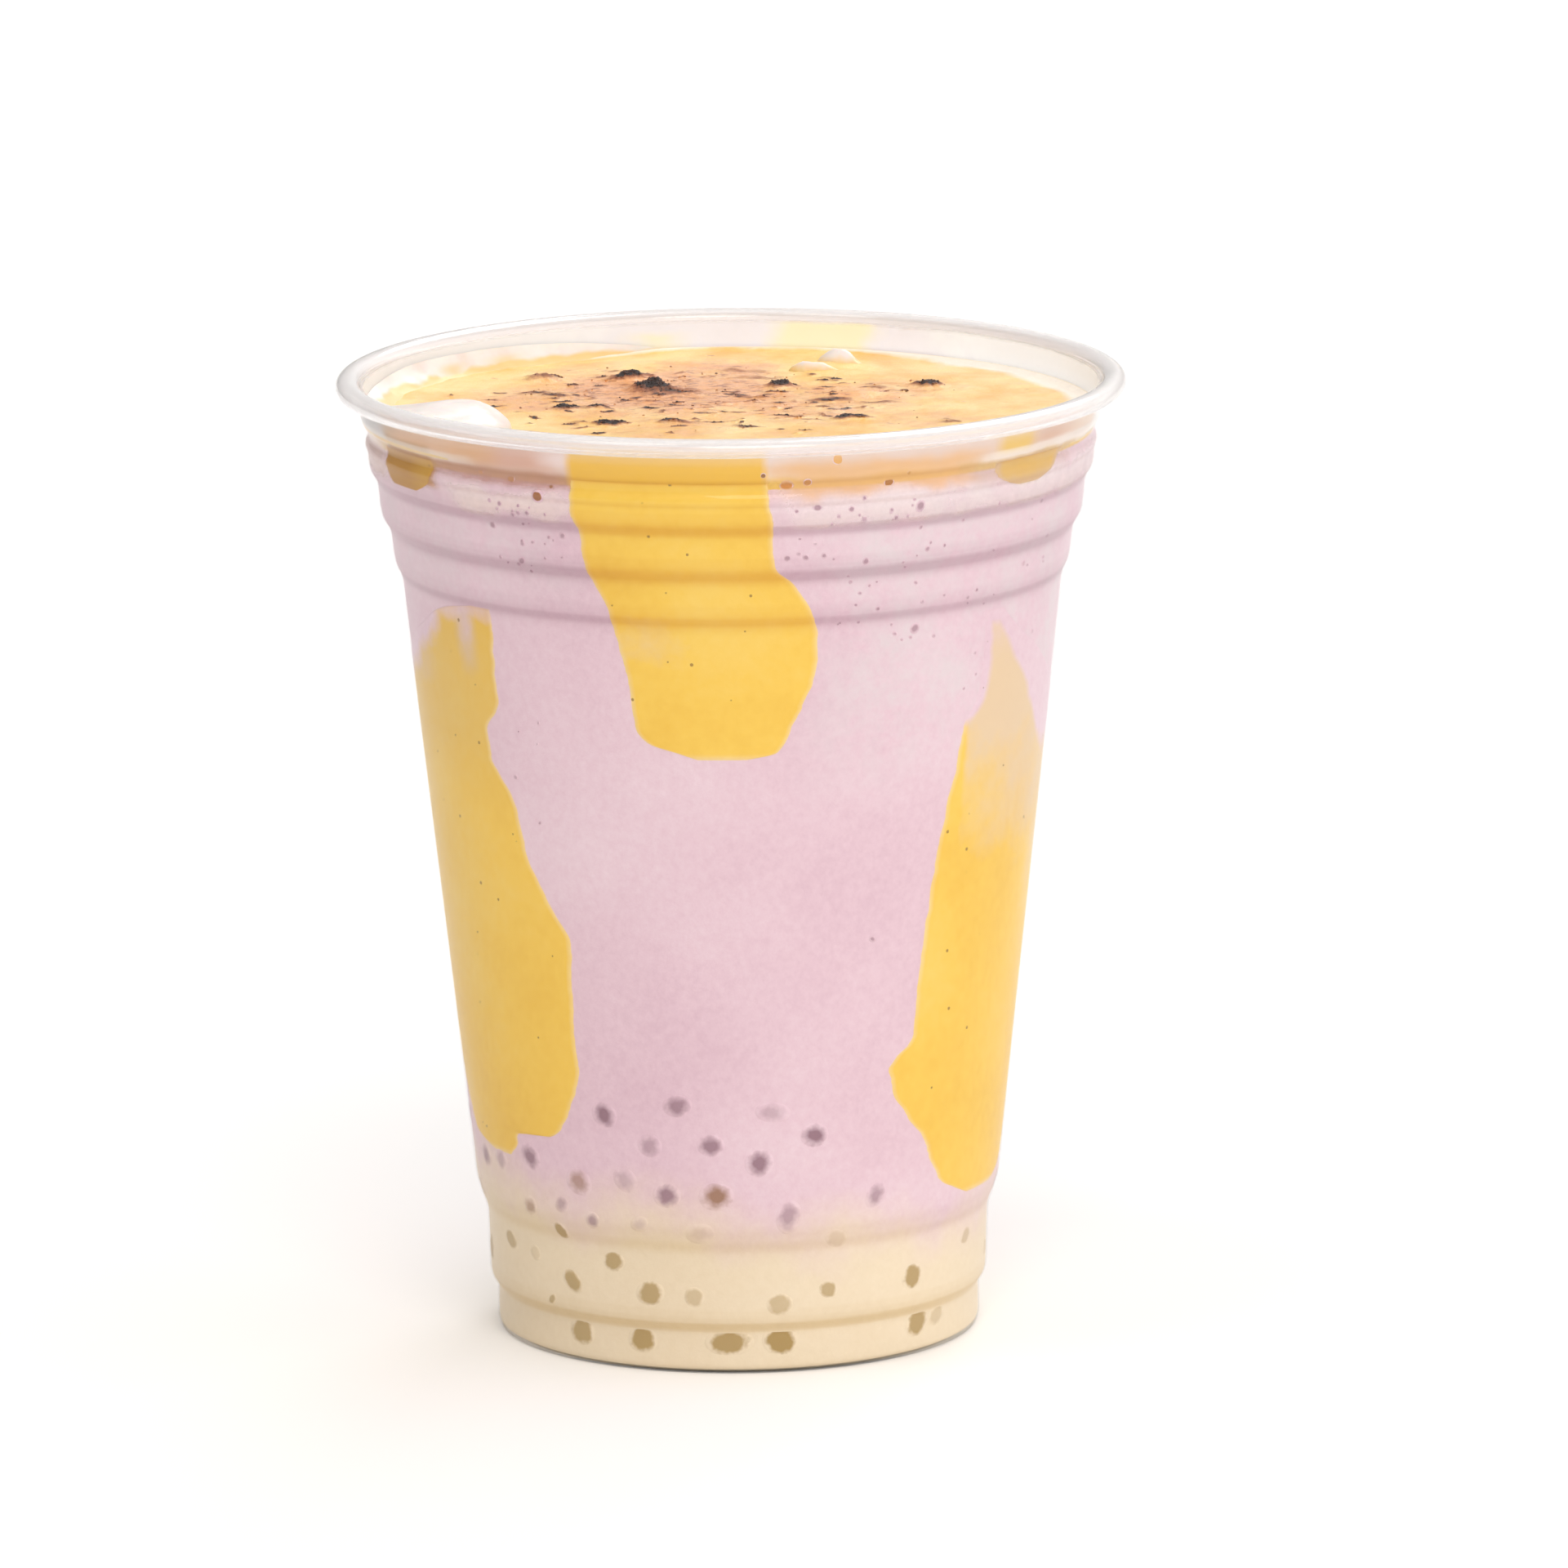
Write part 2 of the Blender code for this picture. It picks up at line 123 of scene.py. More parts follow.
def around(angle, radius, height):
    turn = np.radians(angle)
    return np.stack(np.broadcast_arrays(radius * np.sin(turn), -radius * np.cos(turn), height), axis=-1)


def angleOf(points):
    return np.degrees(np.arctan2(points[:, 0], -points[:, 1]))


def meshPiece(name, points, faces, material, values=None, solid=True):
    mesh = bpy.data.meshes.new(name)
    mesh.from_pydata((np.asarray(points) * mm).tolist(), [], faces)
    for label, data in (values or {}).items():
        data = np.asarray(data, np.float32)
        kind, field = {1: ("FLOAT", "value"), 3: ("FLOAT_VECTOR", "vector"),
                       4: ("FLOAT_COLOR", "color")}[data.size // len(data)]
        mesh.attributes.new(label, kind, "POINT").data.foreach_set(field, data.ravel())
    if solid:
        work = bmesh.new()
        work.from_mesh(mesh)
        bmesh.ops.recalc_face_normals(work, faces=work.faces)
        work.to_mesh(mesh)
        work.free()
        mesh.shade_smooth()
        mesh.set_sharp_from_angle(angle=math.radians(50))
    if material:
        mesh.materials.append(material)
    piece = bpy.data.objects.new(name, mesh)
    bpy.context.scene.collection.objects.link(piece)
    return piece


def attach(piece, node=None):
    # the cup is one body; pieces with no node are additions to the solids
    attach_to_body(piece, "root")
    if node:
        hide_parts(node)


def loftFaces(rows, columns, closedRound, firstPole=False, lastPole=False):
    # quads between rows of equal length; a pole is one point in the place of its row
    faces = []
    start = 1 if firstPole else 0
    ringCount = rows - (1 if firstPole else 0) - (1 if lastPole else 0)
    span = columns if closedRound else columns - 1
    for row in range(ringCount - 1):
        low = start + row * columns
        for column in range(span):
            after = (column + 1) % columns
            faces.append((low + column, low + after, low + columns + after, low + columns + column))
    if firstPole:
        faces += [(0, start + (c + 1) % columns, start + c) for c in range(columns)]
    if lastPole:
        last = start + (ringCount - 1) * columns
        tip = last + columns
        faces += [(last + c, last + (c + 1) % columns, tip) for c in range(columns)]
    return faces


def turnedPiece(name, rows, segments, material, lift=None, onWall=0.0, values=None):
    # rows run from pole to pole as (radius, height); radius None follows the wall, onWall inside it
    angles = np.arange(segments) * 360 / segments
    points = []
    for radius, height in rows:
        if radius == 0:
            level = height if lift is None else float(lift(np.zeros(1), np.zeros(1), height)[0])
            points.append(np.array([[0, 0, level]]))
            continue
        reach = wallAt(height) - onWall if radius is None else radius
        level = np.full(segments, float(height)) if lift is None else lift(angles, reach, height)
        radii = wallAt(level) - onWall if radius is None else np.full(segments, float(radius))
        points.append(around(angles, radii, level))
    points = np.concatenate(points)
    faces = loftFaces(len(rows), segments, True, rows[0][0] == 0, rows[-1][0] == 0)
    return meshPiece(name, points, faces, material, values(points) if values else None)


cameraSettings = {
    "lens": 338.3,  # on a 36 mm sensor
    "place": (0.0062, -1.8, 0.43287),  # metres
    "lookDown": 11.4487,
    "roll": -0.47,
}


def makeCamera():
    data = bpy.data.cameras.new("PhotoCamera")
    data.lens = cameraSettings["lens"]
    data.sensor_width = 36
    data.clip_start = 0.1
    data.clip_end = 60
    camera = bpy.data.objects.new("PhotoCamera", data)
    bpy.context.scene.collection.objects.link(camera)
    pitch = Matrix.Rotation(math.radians(90 - cameraSettings["lookDown"]), 4, "X")
    roll = Matrix.Rotation(math.radians(cameraSettings["roll"]), 4, "Z")
    camera.matrix_world = Matrix.Translation(cameraSettings["place"]) @ pitch @ roll
    bpy.context.scene.camera = camera


makeCamera()
print("camera placed")

cupShape = {
    # outer face (height, radius): foot bead, lower band, shoulder, taper, three grip bands, neck
    "wall": [(0.5, 30.0), (1.3, 30.2), (4.8, 30.2), (5.4, 30.3), (6.7, 31.0), (7.4, 31.15), (14.2, 31.4),
             (15.2, 31.5), (17.4, 32.2), (19.4, 32.75), (21.4, 33.0), (24.0, 33.27), (92.0, 40.77),
             (95.0, 41.1), (96.0, 41.35), (97.4, 41.95), (98.6, 42.2), (101.0, 42.5), (102.0, 42.8),
             (103.4, 43.55), (104.6, 43.8), (107.4, 44.12), (108.2, 44.4), (109.2, 44.95), (110.2, 45.15),
             (111.4, 45.25), (112.2, 45.5), (112.8, 45.38), (113.4, 45.1), (114.0, 45.25), (114.7, 45.6),
             (116.2, 46.1), (118.5, 46.2)],
    "sheet": 0.5,
    "rimCentre": (47.5, 119.3),
    "rimRadius": 1.5, "rimRise": 1.2,  # the roll is a little flattened
    "rimEnds": (-75, 180),  # the curl runs from under its outside over the top to the wall
    "floorTop": 3.0, "floorUnder": 2.4,
    "innerFloor": [(26.6, 3.0), (27.3, 2.75), (27.8, 2.1), (28.1, 1.3), (28.5, 0.8), (29.0, 0.6)],
    "underside": [(29.4, 0.0), (28.6, 0.0), (28.1, 0.12), (27.8, 0.6), (27.4, 1.5), (27.0, 2.05),
                  (26.4, 2.35)],
    "segments": 192, "arcSteps": 28,
}
wallAt = smoothCurve(cupShape["wall"])


def stepShadeAt(height):
    # painted shade: 1 where the wall steps outwards, so that it faces down and lies in its own shade
    height = np.asarray(height, float)
    slope = (wallAt(height + 0.35) - wallAt(height - 0.35)) / 0.7
    step = 0.5 * softStep(0.24, 0.5, slope) + 0.1 * softStep(0.13, 0.3, slope)
    for drop, part in ((0.8, 0.22), (1.6, 0.12)):  # the shade fades out upwards
        slope = (wallAt(height - drop + 0.35) - wallAt(height - drop - 0.35)) / 0.7
        step = np.maximum(step, part * softStep(0.24, 0.5, slope))
    # painted shade: a thin dark line under the stacking ring
    ring = 0.45 * np.exp(-((height - 114.6) / 0.3) ** 2)  # the thin line under the stacking ring
    low = np.where(height < 25, 0.8, 1.0)
    return np.where(height > 112.5, ring, step * low)


def wallHeights(low, high):
    # close rows where the wall bends, wide ones along the straight taper
    marks = [low]
    while marks[-1] < high - 0.05:
        height = marks[-1]
        straight = 24.5 < height < 91
        marks.append(min(high, height + (2.2 if straight else 0.3)))
    return marks


def makeCupOutline():
    sheet = cupShape["sheet"]
    centre, radius, rise = cupShape["rimCentre"], cupShape["rimRadius"], cupShape["rimRise"]
    steps = cupShape["arcSteps"]
    outline = [(reach, cupShape["floorTop"]) for reach in (0, 12, 22)] + cupShape["innerFloor"]
    outline += [(float(wallAt(z)) - sheet, z) for z in wallHeights(0.9, 118.3)]
    low, high = cupShape["rimEnds"]
    for step in range(steps + 1):
        turn = math.radians(high + (low - high) * step / steps)
        outline.append((centre[0] + radius * math.cos(turn), centre[1] + rise * math.sin(turn)))
    middle, half, tall = radius - sheet / 2, sheet / 2, rise - sheet / 2
    turn = math.radians(low)
    for step in range(1, 5):  # the curl's cut edge, rounded
        bend = turn - math.pi * step / 5
        outline.append((centre[0] + middle * math.cos(turn) + half * math.cos(bend),
                        centre[1] + tall * math.sin(turn) + half * math.sin(bend)))
    for step in range(steps + 1):
        turn = math.radians(low + (high - low) * step / steps)
        inner, upper = radius - sheet, rise - sheet
        outline.append((centre[0] + inner * math.cos(turn), centre[1] + upper * math.sin(turn)))
    outline += [(float(wallAt(z)), z) for z in reversed(wallHeights(0.5, 118.4))]
    outline += [(29.85, 0.22)] + cupShape["underside"]
    outline += [(reach, cupShape["floorUnder"]) for reach in (22, 12, 0)]
    return outline


def newMaterial(name):
    material = bpy.data.materials.new(name)
    material.use_nodes = True
    material.node_tree.nodes.clear()
    return material, material.node_tree


def clearPet():
    # Clear PET sheet, thermoformed: crisp reflections, a faint grey at the edges and no colour of its own.
    material, tree = newMaterial("thermoformed_clear_pet")
    place = addNode(tree, "ShaderNodeTexCoord").outputs["Object"]
    ripple = addNode(tree, "ShaderNodeTexNoise", {"Vector": place, "Scale": 60, "Detail": 1})
    bump = addNode(tree, "ShaderNodeBump", {"Height": ripple, "Strength": 0.03, "Distance": 0.0004})
    height = addNode(tree, "ShaderNodeSeparateXYZ", {0: place}).outputs["Z"]
    # the rolled rim is drawn and folded sheet, so it is a little milky
    rolled = addNode(tree, "ShaderNodeMapRange", {"Value": height, "From Min": 0.1166, "From Max": 0.1184})
    haze = addNode(tree, "ShaderNodeMapRange", {"Value": rolled, "To Min": 0.03, "To Max": 0.12})
    milky = addNode(tree, "ShaderNodeMapRange", {"Value": rolled, "To Min": 1.0, "To Max": 0.78})
    tint = addNode(tree, "ShaderNodeMix", {"Factor": rolled, "A": "#FBFBFC",
                                           "B": "#F8F5F5"}, data_type="RGBA")
    pet = addNode(tree, "ShaderNodeBsdfPrincipled", {
        "Base Color": tint, "Roughness": haze, "IOR": 1.5,
        "Transmission Weight": milky, "Normal": bump})
    # a single thin sheet on a full cup mirrors less at its edges than a thick one would
    thin = addNode(tree, "ShaderNodeMapRange", {"Value": height, "From Min": 0.1135, "From Max": 0.1165,
                                               "To Min": 0.6, "To Max": 0.0})
    clear = addNode(tree, "ShaderNodeBsdfTransparent", {"Color": "#FAFAFB"})
    path = addNode(tree, "ShaderNodeLightPath")
    soft = addNode(tree, "ShaderNodeMath", {0: path.outputs["Is Shadow Ray"],
                                            1: path.outputs["Is Diffuse Ray"]}, operation="MAXIMUM")
    share = addNode(tree, "ShaderNodeMath", {0: soft, 1: thin}, operation="MAXIMUM")
    mix = addNode(tree, "ShaderNodeMixShader", {0: share, 1: pet, 2: clear})
    addNode(tree, "ShaderNodeOutputMaterial", {"Surface": mix})
    return material


drinkLook = {
    "lavender": "#E6C7D0", "lavenderPale": "#EED6DC", "lavenderDeep": "#DAB7C3",
    "milk": "#F2E1C4", "milkDeep": "#E8D4B3",
    # the two colours after frost are painted shade, multiplied in under the wall's outward steps over taro
    # and over milk
    "frost": "#E2D8D8", "crease": "#C6B3BC", "stepShadeMilk": "#E0CD96",
    "blendLow": 13.5, "blendHigh": 26.0,  # heights between which milk turns into taro
    "billow": 16, "tilt": 0.11,  # how far that border billows, and how it falls towards +X
}


def drinkColour(tree):
    # milk below, taro above, with a cloudy border; shared by everything that lies in the drink
    place = addNode(tree, "ShaderNodeTexCoord").outputs["Object"]
    parts = addNode(tree, "ShaderNodeSeparateXYZ", {0: place})
    cloud = addNode(tree, "ShaderNodeTexNoise", {"Vector": place, "Scale": 70, "Detail": 4,
                                                "Roughness": 0.55})
    raised = addNode(tree, "ShaderNodeMath", {0: cloud, 1: drinkLook["billow"] * mm,
                                              2: parts.outputs["Z"]}, operation="MULTIPLY_ADD")
    tilted = addNode(tree, "ShaderNodeMath", {0: parts.outputs["X"], 1: drinkLook["tilt"], 2: raised},
                     operation="MULTIPLY_ADD")
    low, high = ((drinkLook[key] + drinkLook["billow"] / 2) * mm for key in ("blendLow", "blendHigh"))
    share = addNode(tree, "ShaderNodeMapRange", {"Value": tilted, "From Min": low, "From Max": high},
                    interpolation_type="SMOOTHSTEP")
    wide = addNode(tree, "ShaderNodeTexNoise", {"Vector": place, "Scale": 28, "Detail": 3})
    fine = addNode(tree, "ShaderNodeTexNoise", {"Vector": place, "Scale": 900, "Detail": 3,
                                               "Roughness": 0.7})
    grain = addNode(tree, "ShaderNodeMath", {0: fine, 1: 0.55, 2: wide}, operation="MULTIPLY_ADD")
    tone = addNode(tree, "ShaderNodeMapRange", {"Value": grain, "From Min": 0.45, "From Max": 1.1})
    taro = addNode(tree, "ShaderNodeValToRGB", {0: tone})
    rampStops(taro, [(0, drinkLook["lavenderDeep"]), (0.5, drinkLook["lavender"]),
                     (1, drinkLook["lavenderPale"])])
    milk = addNode(tree, "ShaderNodeMix", {"Factor": tone, "A": drinkLook["milkDeep"],
                                           "B": drinkLook["milk"]}, data_type="RGBA")
    mixed = addNode(tree, "ShaderNodeMix", {"Factor": share, "A": milk, "B": taro}, data_type="RGBA")
    # painted shade for under the wall's steps: the milk's tone below, the taro's above
    shade = addNode(tree, "ShaderNodeMix", {"Factor": share, "A": drinkLook["stepShadeMilk"],
                                            "B": drinkLook["crease"]}, data_type="RGBA")
    return mixed, place, fine, shade


def paintStepShade(tree, colour, shade):
    # painted shade: multiplies a colour by a shade colour where the wall above it steps outwards
    crease = addNode(tree, "ShaderNodeAttribute", attribute_name="crease")
    return addNode(tree, "ShaderNodeMix", {"Factor": crease.outputs["Fac"], "A": colour, "B": shade},
                   data_type="RGBA", blend_type="MULTIPLY")


def taroDrink(name):
    # Milk tea with taro: an opaque emulsion behind plastic, so a soft matt skin with hardly any gloss.
    material, tree = newMaterial(name)
    colour, place, fine, shade = drinkColour(tree)
    frost = addNode(tree, "ShaderNodeAttribute", attribute_name="frost")
    flakes = addNode(tree, "ShaderNodeTexNoise", {"Vector": place, "Scale": 150, "Detail": 7,
                                                 "Roughness": 0.72})
    spots = addNode(tree, "ShaderNodeMapRange", {"Value": flakes, "From Min": 0.4, "From Max": 0.64})
    amount = addNode(tree, "ShaderNodeMath", {0: spots, 1: frost.outputs["Fac"]}, operation="MULTIPLY")
    iced = addNode(tree, "ShaderNodeMix", {"Factor": amount, "A": colour,
                                           "B": drinkLook["frost"]}, data_type="RGBA")
    # painted shade under the wall's outward steps
    shaded = paintStepShade(tree, iced, shade)
    bump = addNode(tree, "ShaderNodeBump", {"Height": fine, "Strength": 0.25, "Distance": 0.0002})
    skin = addNode(tree, "ShaderNodeBsdfPrincipled", {
        "Base Color": shaded, "Roughness": 0.5, "Specular IOR Level": 0.12, "Normal": bump})
    addNode(tree, "ShaderNodeOutputMaterial", {"Surface": skin})
    return material


custardLook = {
    # the ochre colour is browner custard, and on the cup's left also painted shade
    "body": "#F6CA55", "light": "#F8D26B", "deep": "#EFBE48", "veil": "#E4CCB4", "ochre": "#BB8848",
    # the first colour on the next line is painted shade for under the wall's outward steps
    "crease": "#E3C37E", "rim": "#F3DDB4",
    "speck": "#8A6234",
    "speckSpacing": 2.4, "speckSize": 0.16,  # mm
}


def custard():
    # Egg custard: a smooth thick yellow sauce pressed on the wall, with fine vanilla-brown specks.
    material, tree = newMaterial("smooth_egg_custard")
    place = addNode(tree, "ShaderNodeTexCoord").outputs["Object"]
    wide = addNode(tree, "ShaderNodeTexNoise", {"Vector": place, "Scale": 45, "Detail": 3})
    fine = addNode(tree, "ShaderNodeTexNoise", {"Vector": place, "Scale": 700, "Detail": 3})
    tone = addNode(tree, "ShaderNodeMath", {0: fine, 1: 0.35, 2: wide}, operation="MULTIPLY_ADD")
    body = addNode(tree, "ShaderNodeValToRGB", {0: tone})
    rampStops(body, [(0.4, custardLook["deep"]), (0.66, custardLook["body"]), (0.95, custardLook["light"])])
    milky, brown, rim, melt = (addNode(tree, "ShaderNodeAttribute", attribute_name=label)
                               for label in ("veil", "ochre", "rim", "melt"))
    clouds = addNode(tree, "ShaderNodeTexNoise", {"Vector": place, "Scale": 160, "Detail": 5,
                                                 "Roughness": 0.65})
    lifted = addNode(tree, "ShaderNodeMath", {0: milky.outputs["Fac"], 1: 1.35, 2: clouds},
                     operation="MULTIPLY_ADD")
    veilShare = addNode(tree, "ShaderNodeMapRange", {"Value": lifted, "From Min": 0.75, "From Max": 1.55,
                                                    "To Max": 0.78})
    veiled = addNode(tree, "ShaderNodeMix", {"Factor": veilShare, "A": body,
                                             "B": custardLook["veil"]}, data_type="RGBA")
    # the ochre share is browner custard, and on the cup's left painted shade as well
    tinted = addNode(tree, "ShaderNodeMix", {"Factor": brown.outputs["Fac"], "A": veiled,
                                             "B": custardLook["ochre"]}, data_type="RGBA")
    # thin pale rim where the custard meets the drink, and where the drink has washed over it
    rimShare = addNode(tree, "ShaderNodeMath", {0: rim.outputs["Fac"], 1: clouds}, operation="MULTIPLY")
    rimmed = addNode(tree, "ShaderNodeMix", {"Factor": rimShare, "A": tinted,
                                             "B": custardLook["rim"]}, data_type="RGBA")
    liquid = drinkColour(tree)[0]
    melting = addNode(tree, "ShaderNodeMath", {0: melt.outputs["Fac"], 1: 1.6, 2: clouds},
                      operation="MULTIPLY_ADD")
    meltShare = addNode(tree, "ShaderNodeMapRange", {"Value": melting, "From Min": 0.75, "From Max": 1.6})
    melted = addNode(tree, "ShaderNodeMix", {"Factor": meltShare, "A": rimmed, "B": liquid},
                     data_type="RGBA")
    # painted shade under the wall's outward steps
    shaded = paintStepShade(tree, melted, custardLook["crease"])
    cells = addNode(tree, "ShaderNodeTexVoronoi", {
        "Vector": place, "Scale": 1 / (custardLook["speckSpacing"] * mm)})
    reach = addNode(tree, "ShaderNodeSeparateColor", {0: cells.outputs["Color"]})
    size = addNode(tree, "ShaderNodeMapRange", {
        "Value": reach.outputs["Red"], "From Min": 0.35, "From Max": 1.0, "To Min": 0.0,
        "To Max": custardLook["speckSize"] / custardLook["speckSpacing"] * 1.6})
    dot = addNode(tree, "ShaderNodeMath", {0: cells.outputs["Distance"], 1: size}, operation="LESS_THAN")
    dotted = addNode(tree, "ShaderNodeMath", {0: dot, 1: 0.75}, operation="MULTIPLY")
    speckled = addNode(tree, "ShaderNodeMix", {"Factor": dotted, "A": shaded,
                                               "B": custardLook["speck"]}, data_type="RGBA")
    bump = addNode(tree, "ShaderNodeBump", {"Height": fine, "Strength": 0.2, "Distance": 0.0002})
    skin = addNode(tree, "ShaderNodeBsdfPrincipled", {
        "Base Color": speckled, "Roughness": 0.42, "Specular IOR Level": 0.2, "Normal": bump})
    addNode(tree, "ShaderNodeOutputMaterial", {"Surface": skin})
    return material


torchLook = {
    "custard": "#FBD68C", "custardDeep": "#F3BA5F", "toasted": "#E0935F", "toastedPale": "#F0AE80",
    "fleck": "#9C5C36", "brown": "#8A5036", "char": "#332A29", "amber": "#DB9240",
    "edge": "#EFC452", "whiten": "#FAF0E4",
    # each layer covers the one before where its attribute x weight + its noise passes from low to
    # high: (attribute, weight, noise, low, high, greatest share)
    "layers": {
        "toasted": ("toast", 0.55, "patchy", 0.58, 0.98, 0.85),
        "amber": ("toast", 0.13, "spots", 0.66, 0.76, 0.8),
        "fleck": ("toast", 0.2, "flecks", 0.685, 0.785, 0.78),
        "brown": ("burnt", 1.0, "ragged", 0.7, 1.06, 0.9),
        "char": ("burnt", 1.0, "ragged", 1.06, 1.24, 1.0),
        "whiten": ("whiten", 1.2, "wide", 0.65, 1.35, 0.92),
    },
}


def torchedCustard():
    # Custard skin browned by a blowtorch: moist and glossy, orange-pink where toasted, matt and
    # black where burnt.
    material, tree = newMaterial("torched_custard_skin")
    place = addNode(tree, "ShaderNodeTexCoord").outputs["Object"]
    # flecks are long across the view, as crust folds are
    stretched = addNode(tree, "ShaderNodeMapping", {"Vector": place, "Scale": (0.55, 1.0, 1)})
    noises = {}
    for label, vector, scale, detail, roughness in (
            ("wide", place, 110, 4, 0.6), ("patchy", place, 210, 5, 0.65), ("spots", stretched, 330, 4, 0.7),
            ("flecks", stretched, 900, 4, 0.7), ("ragged", place, 650, 6, 0.75)):
        noises[label] = addNode(tree, "ShaderNodeTexNoise", {"Vector": vector, "Scale": scale,
                                                            "Detail": detail, "Roughness": roughness})
    colour = addNode(tree, "ShaderNodeValToRGB", {0: noises["wide"]})
    rampStops(colour, [(0.36, torchLook["custardDeep"]), (0.6, torchLook["custard"])])
    toastTone = addNode(tree, "ShaderNodeMix", {
        "Factor": noises["wide"], "A": torchLook["toasted"],
        "B": torchLook["toastedPale"]}, data_type="RGBA")
    shares = {}
    for layer, (label, weight, pattern, low, high, most) in torchLook["layers"].items():
        amount = addNode(tree, "ShaderNodeAttribute", attribute_name=label)
        total = addNode(tree, "ShaderNodeMath", {0: amount.outputs["Fac"], 1: weight, 2: noises[pattern]},
                        operation="MULTIPLY_ADD")
        shares[layer] = addNode(tree, "ShaderNodeMapRange", {"Value": total, "From Min": low,
                                                            "From Max": high, "To Max": most})
        tint = toastTone if layer == "toasted" else torchLook[layer]
        colour = addNode(tree, "ShaderNodeMix", {"Factor": shares[layer], "A": colour, "B": tint},
                         data_type="RGBA")
    side = addNode(tree, "ShaderNodeAttribute", attribute_name="side")
    colour = addNode(tree, "ShaderNodeMix", {"Factor": side.outputs["Fac"], "A": colour,
                                             "B": torchLook["edge"]}, data_type="RGBA")
    rough = addNode(tree, "ShaderNodeMapRange", {"Value": shares["brown"], "To Min": 0.22, "To Max": 0.7})
    bump = addNode(tree, "ShaderNodeBump", {"Height": noises["ragged"], "Strength": 0.35,
                                            "Distance": 0.0005})
    skin = addNode(tree, "ShaderNodeBsdfPrincipled", {
        "Base Color": colour, "Roughness": rough, "Specular IOR Level": 0.45, "Normal": bump})
    addNode(tree, "ShaderNodeOutputMaterial", {"Surface": skin})
    return material


def charCrumb():
    # Burnt sugar crust: matt, nearly black, warm brown where it is thin.
    material, tree = newMaterial("burnt_sugar_crust")
    place = addNode(tree, "ShaderNodeTexCoord").outputs["Object"]
    mottled = addNode(tree, "ShaderNodeTexNoise", {"Vector": place, "Scale": 500, "Detail": 4})
    black = addNode(tree, "ShaderNodeValToRGB", {0: mottled})
    rampStops(black, [(0.38, "#2E2524"), (0.55, "#453430"), (0.7, "#7A4C36")])
    brown = addNode(tree, "ShaderNodeValToRGB", {0: mottled})
    rampStops(brown, [(0.36, "#5A3A2E"), (0.48, "#9C6240"), (0.62, "#C98A54")])
    burnt = addNode(tree, "ShaderNodeAttribute", attribute_name="burnt")
    share = addNode(tree, "ShaderNodeMapRange", {"Value": burnt.outputs["Fac"], "From Min": 0.4,
                                                "From Max": 0.75})
    tone = addNode(tree, "ShaderNodeMix", {"Factor": share, "A": brown, "B": black}, data_type="RGBA")
    skin = addNode(tree, "ShaderNodeBsdfPrincipled", {
        "Base Color": tone, "Roughness": 0.6, "Specular IOR Level": 0.4})
    addNode(tree, "ShaderNodeOutputMaterial", {"Surface": skin})
    return material


def wetCream():
    # Whipped cream, half melted: bright warm white, soft gloss, yellow where custard shows through.
    material, tree = newMaterial("melted_whipped_cream")
    place = addNode(tree, "ShaderNodeTexCoord").outputs["Object"]
    wide = addNode(tree, "ShaderNodeTexNoise", {"Vector": place, "Scale": 160, "Detail": 4})
    tone = addNode(tree, "ShaderNodeValToRGB", {0: wide})
    rampStops(tone, [(0.3, "#E0D3CC"), (0.5, "#EAE0DB"), (0.7, "#F1E9E5")])
    stain = addNode(tree, "ShaderNodeAttribute", attribute_name="stain")
    stained = addNode(tree, "ShaderNodeMix", {"Factor": stain.outputs["Fac"], "A": tone,
                                              "B": "#F0C47C"}, data_type="RGBA")
    bump = addNode(tree, "ShaderNodeBump", {"Height": wide, "Strength": 0.3, "Distance": 0.0005})
    skin = addNode(tree, "ShaderNodeBsdfPrincipled", {
        "Base Color": stained, "Roughness": 0.3, "Specular IOR Level": 0.4,
        "Subsurface Weight": 0.3, "Subsurface Scale": 0.002, "Normal": bump})
    addNode(tree, "ShaderNodeOutputMaterial", {"Surface": skin})
    return material


# painted shade that the film takes under the wall's outward steps
filmStepShade = "#D9BFA8"


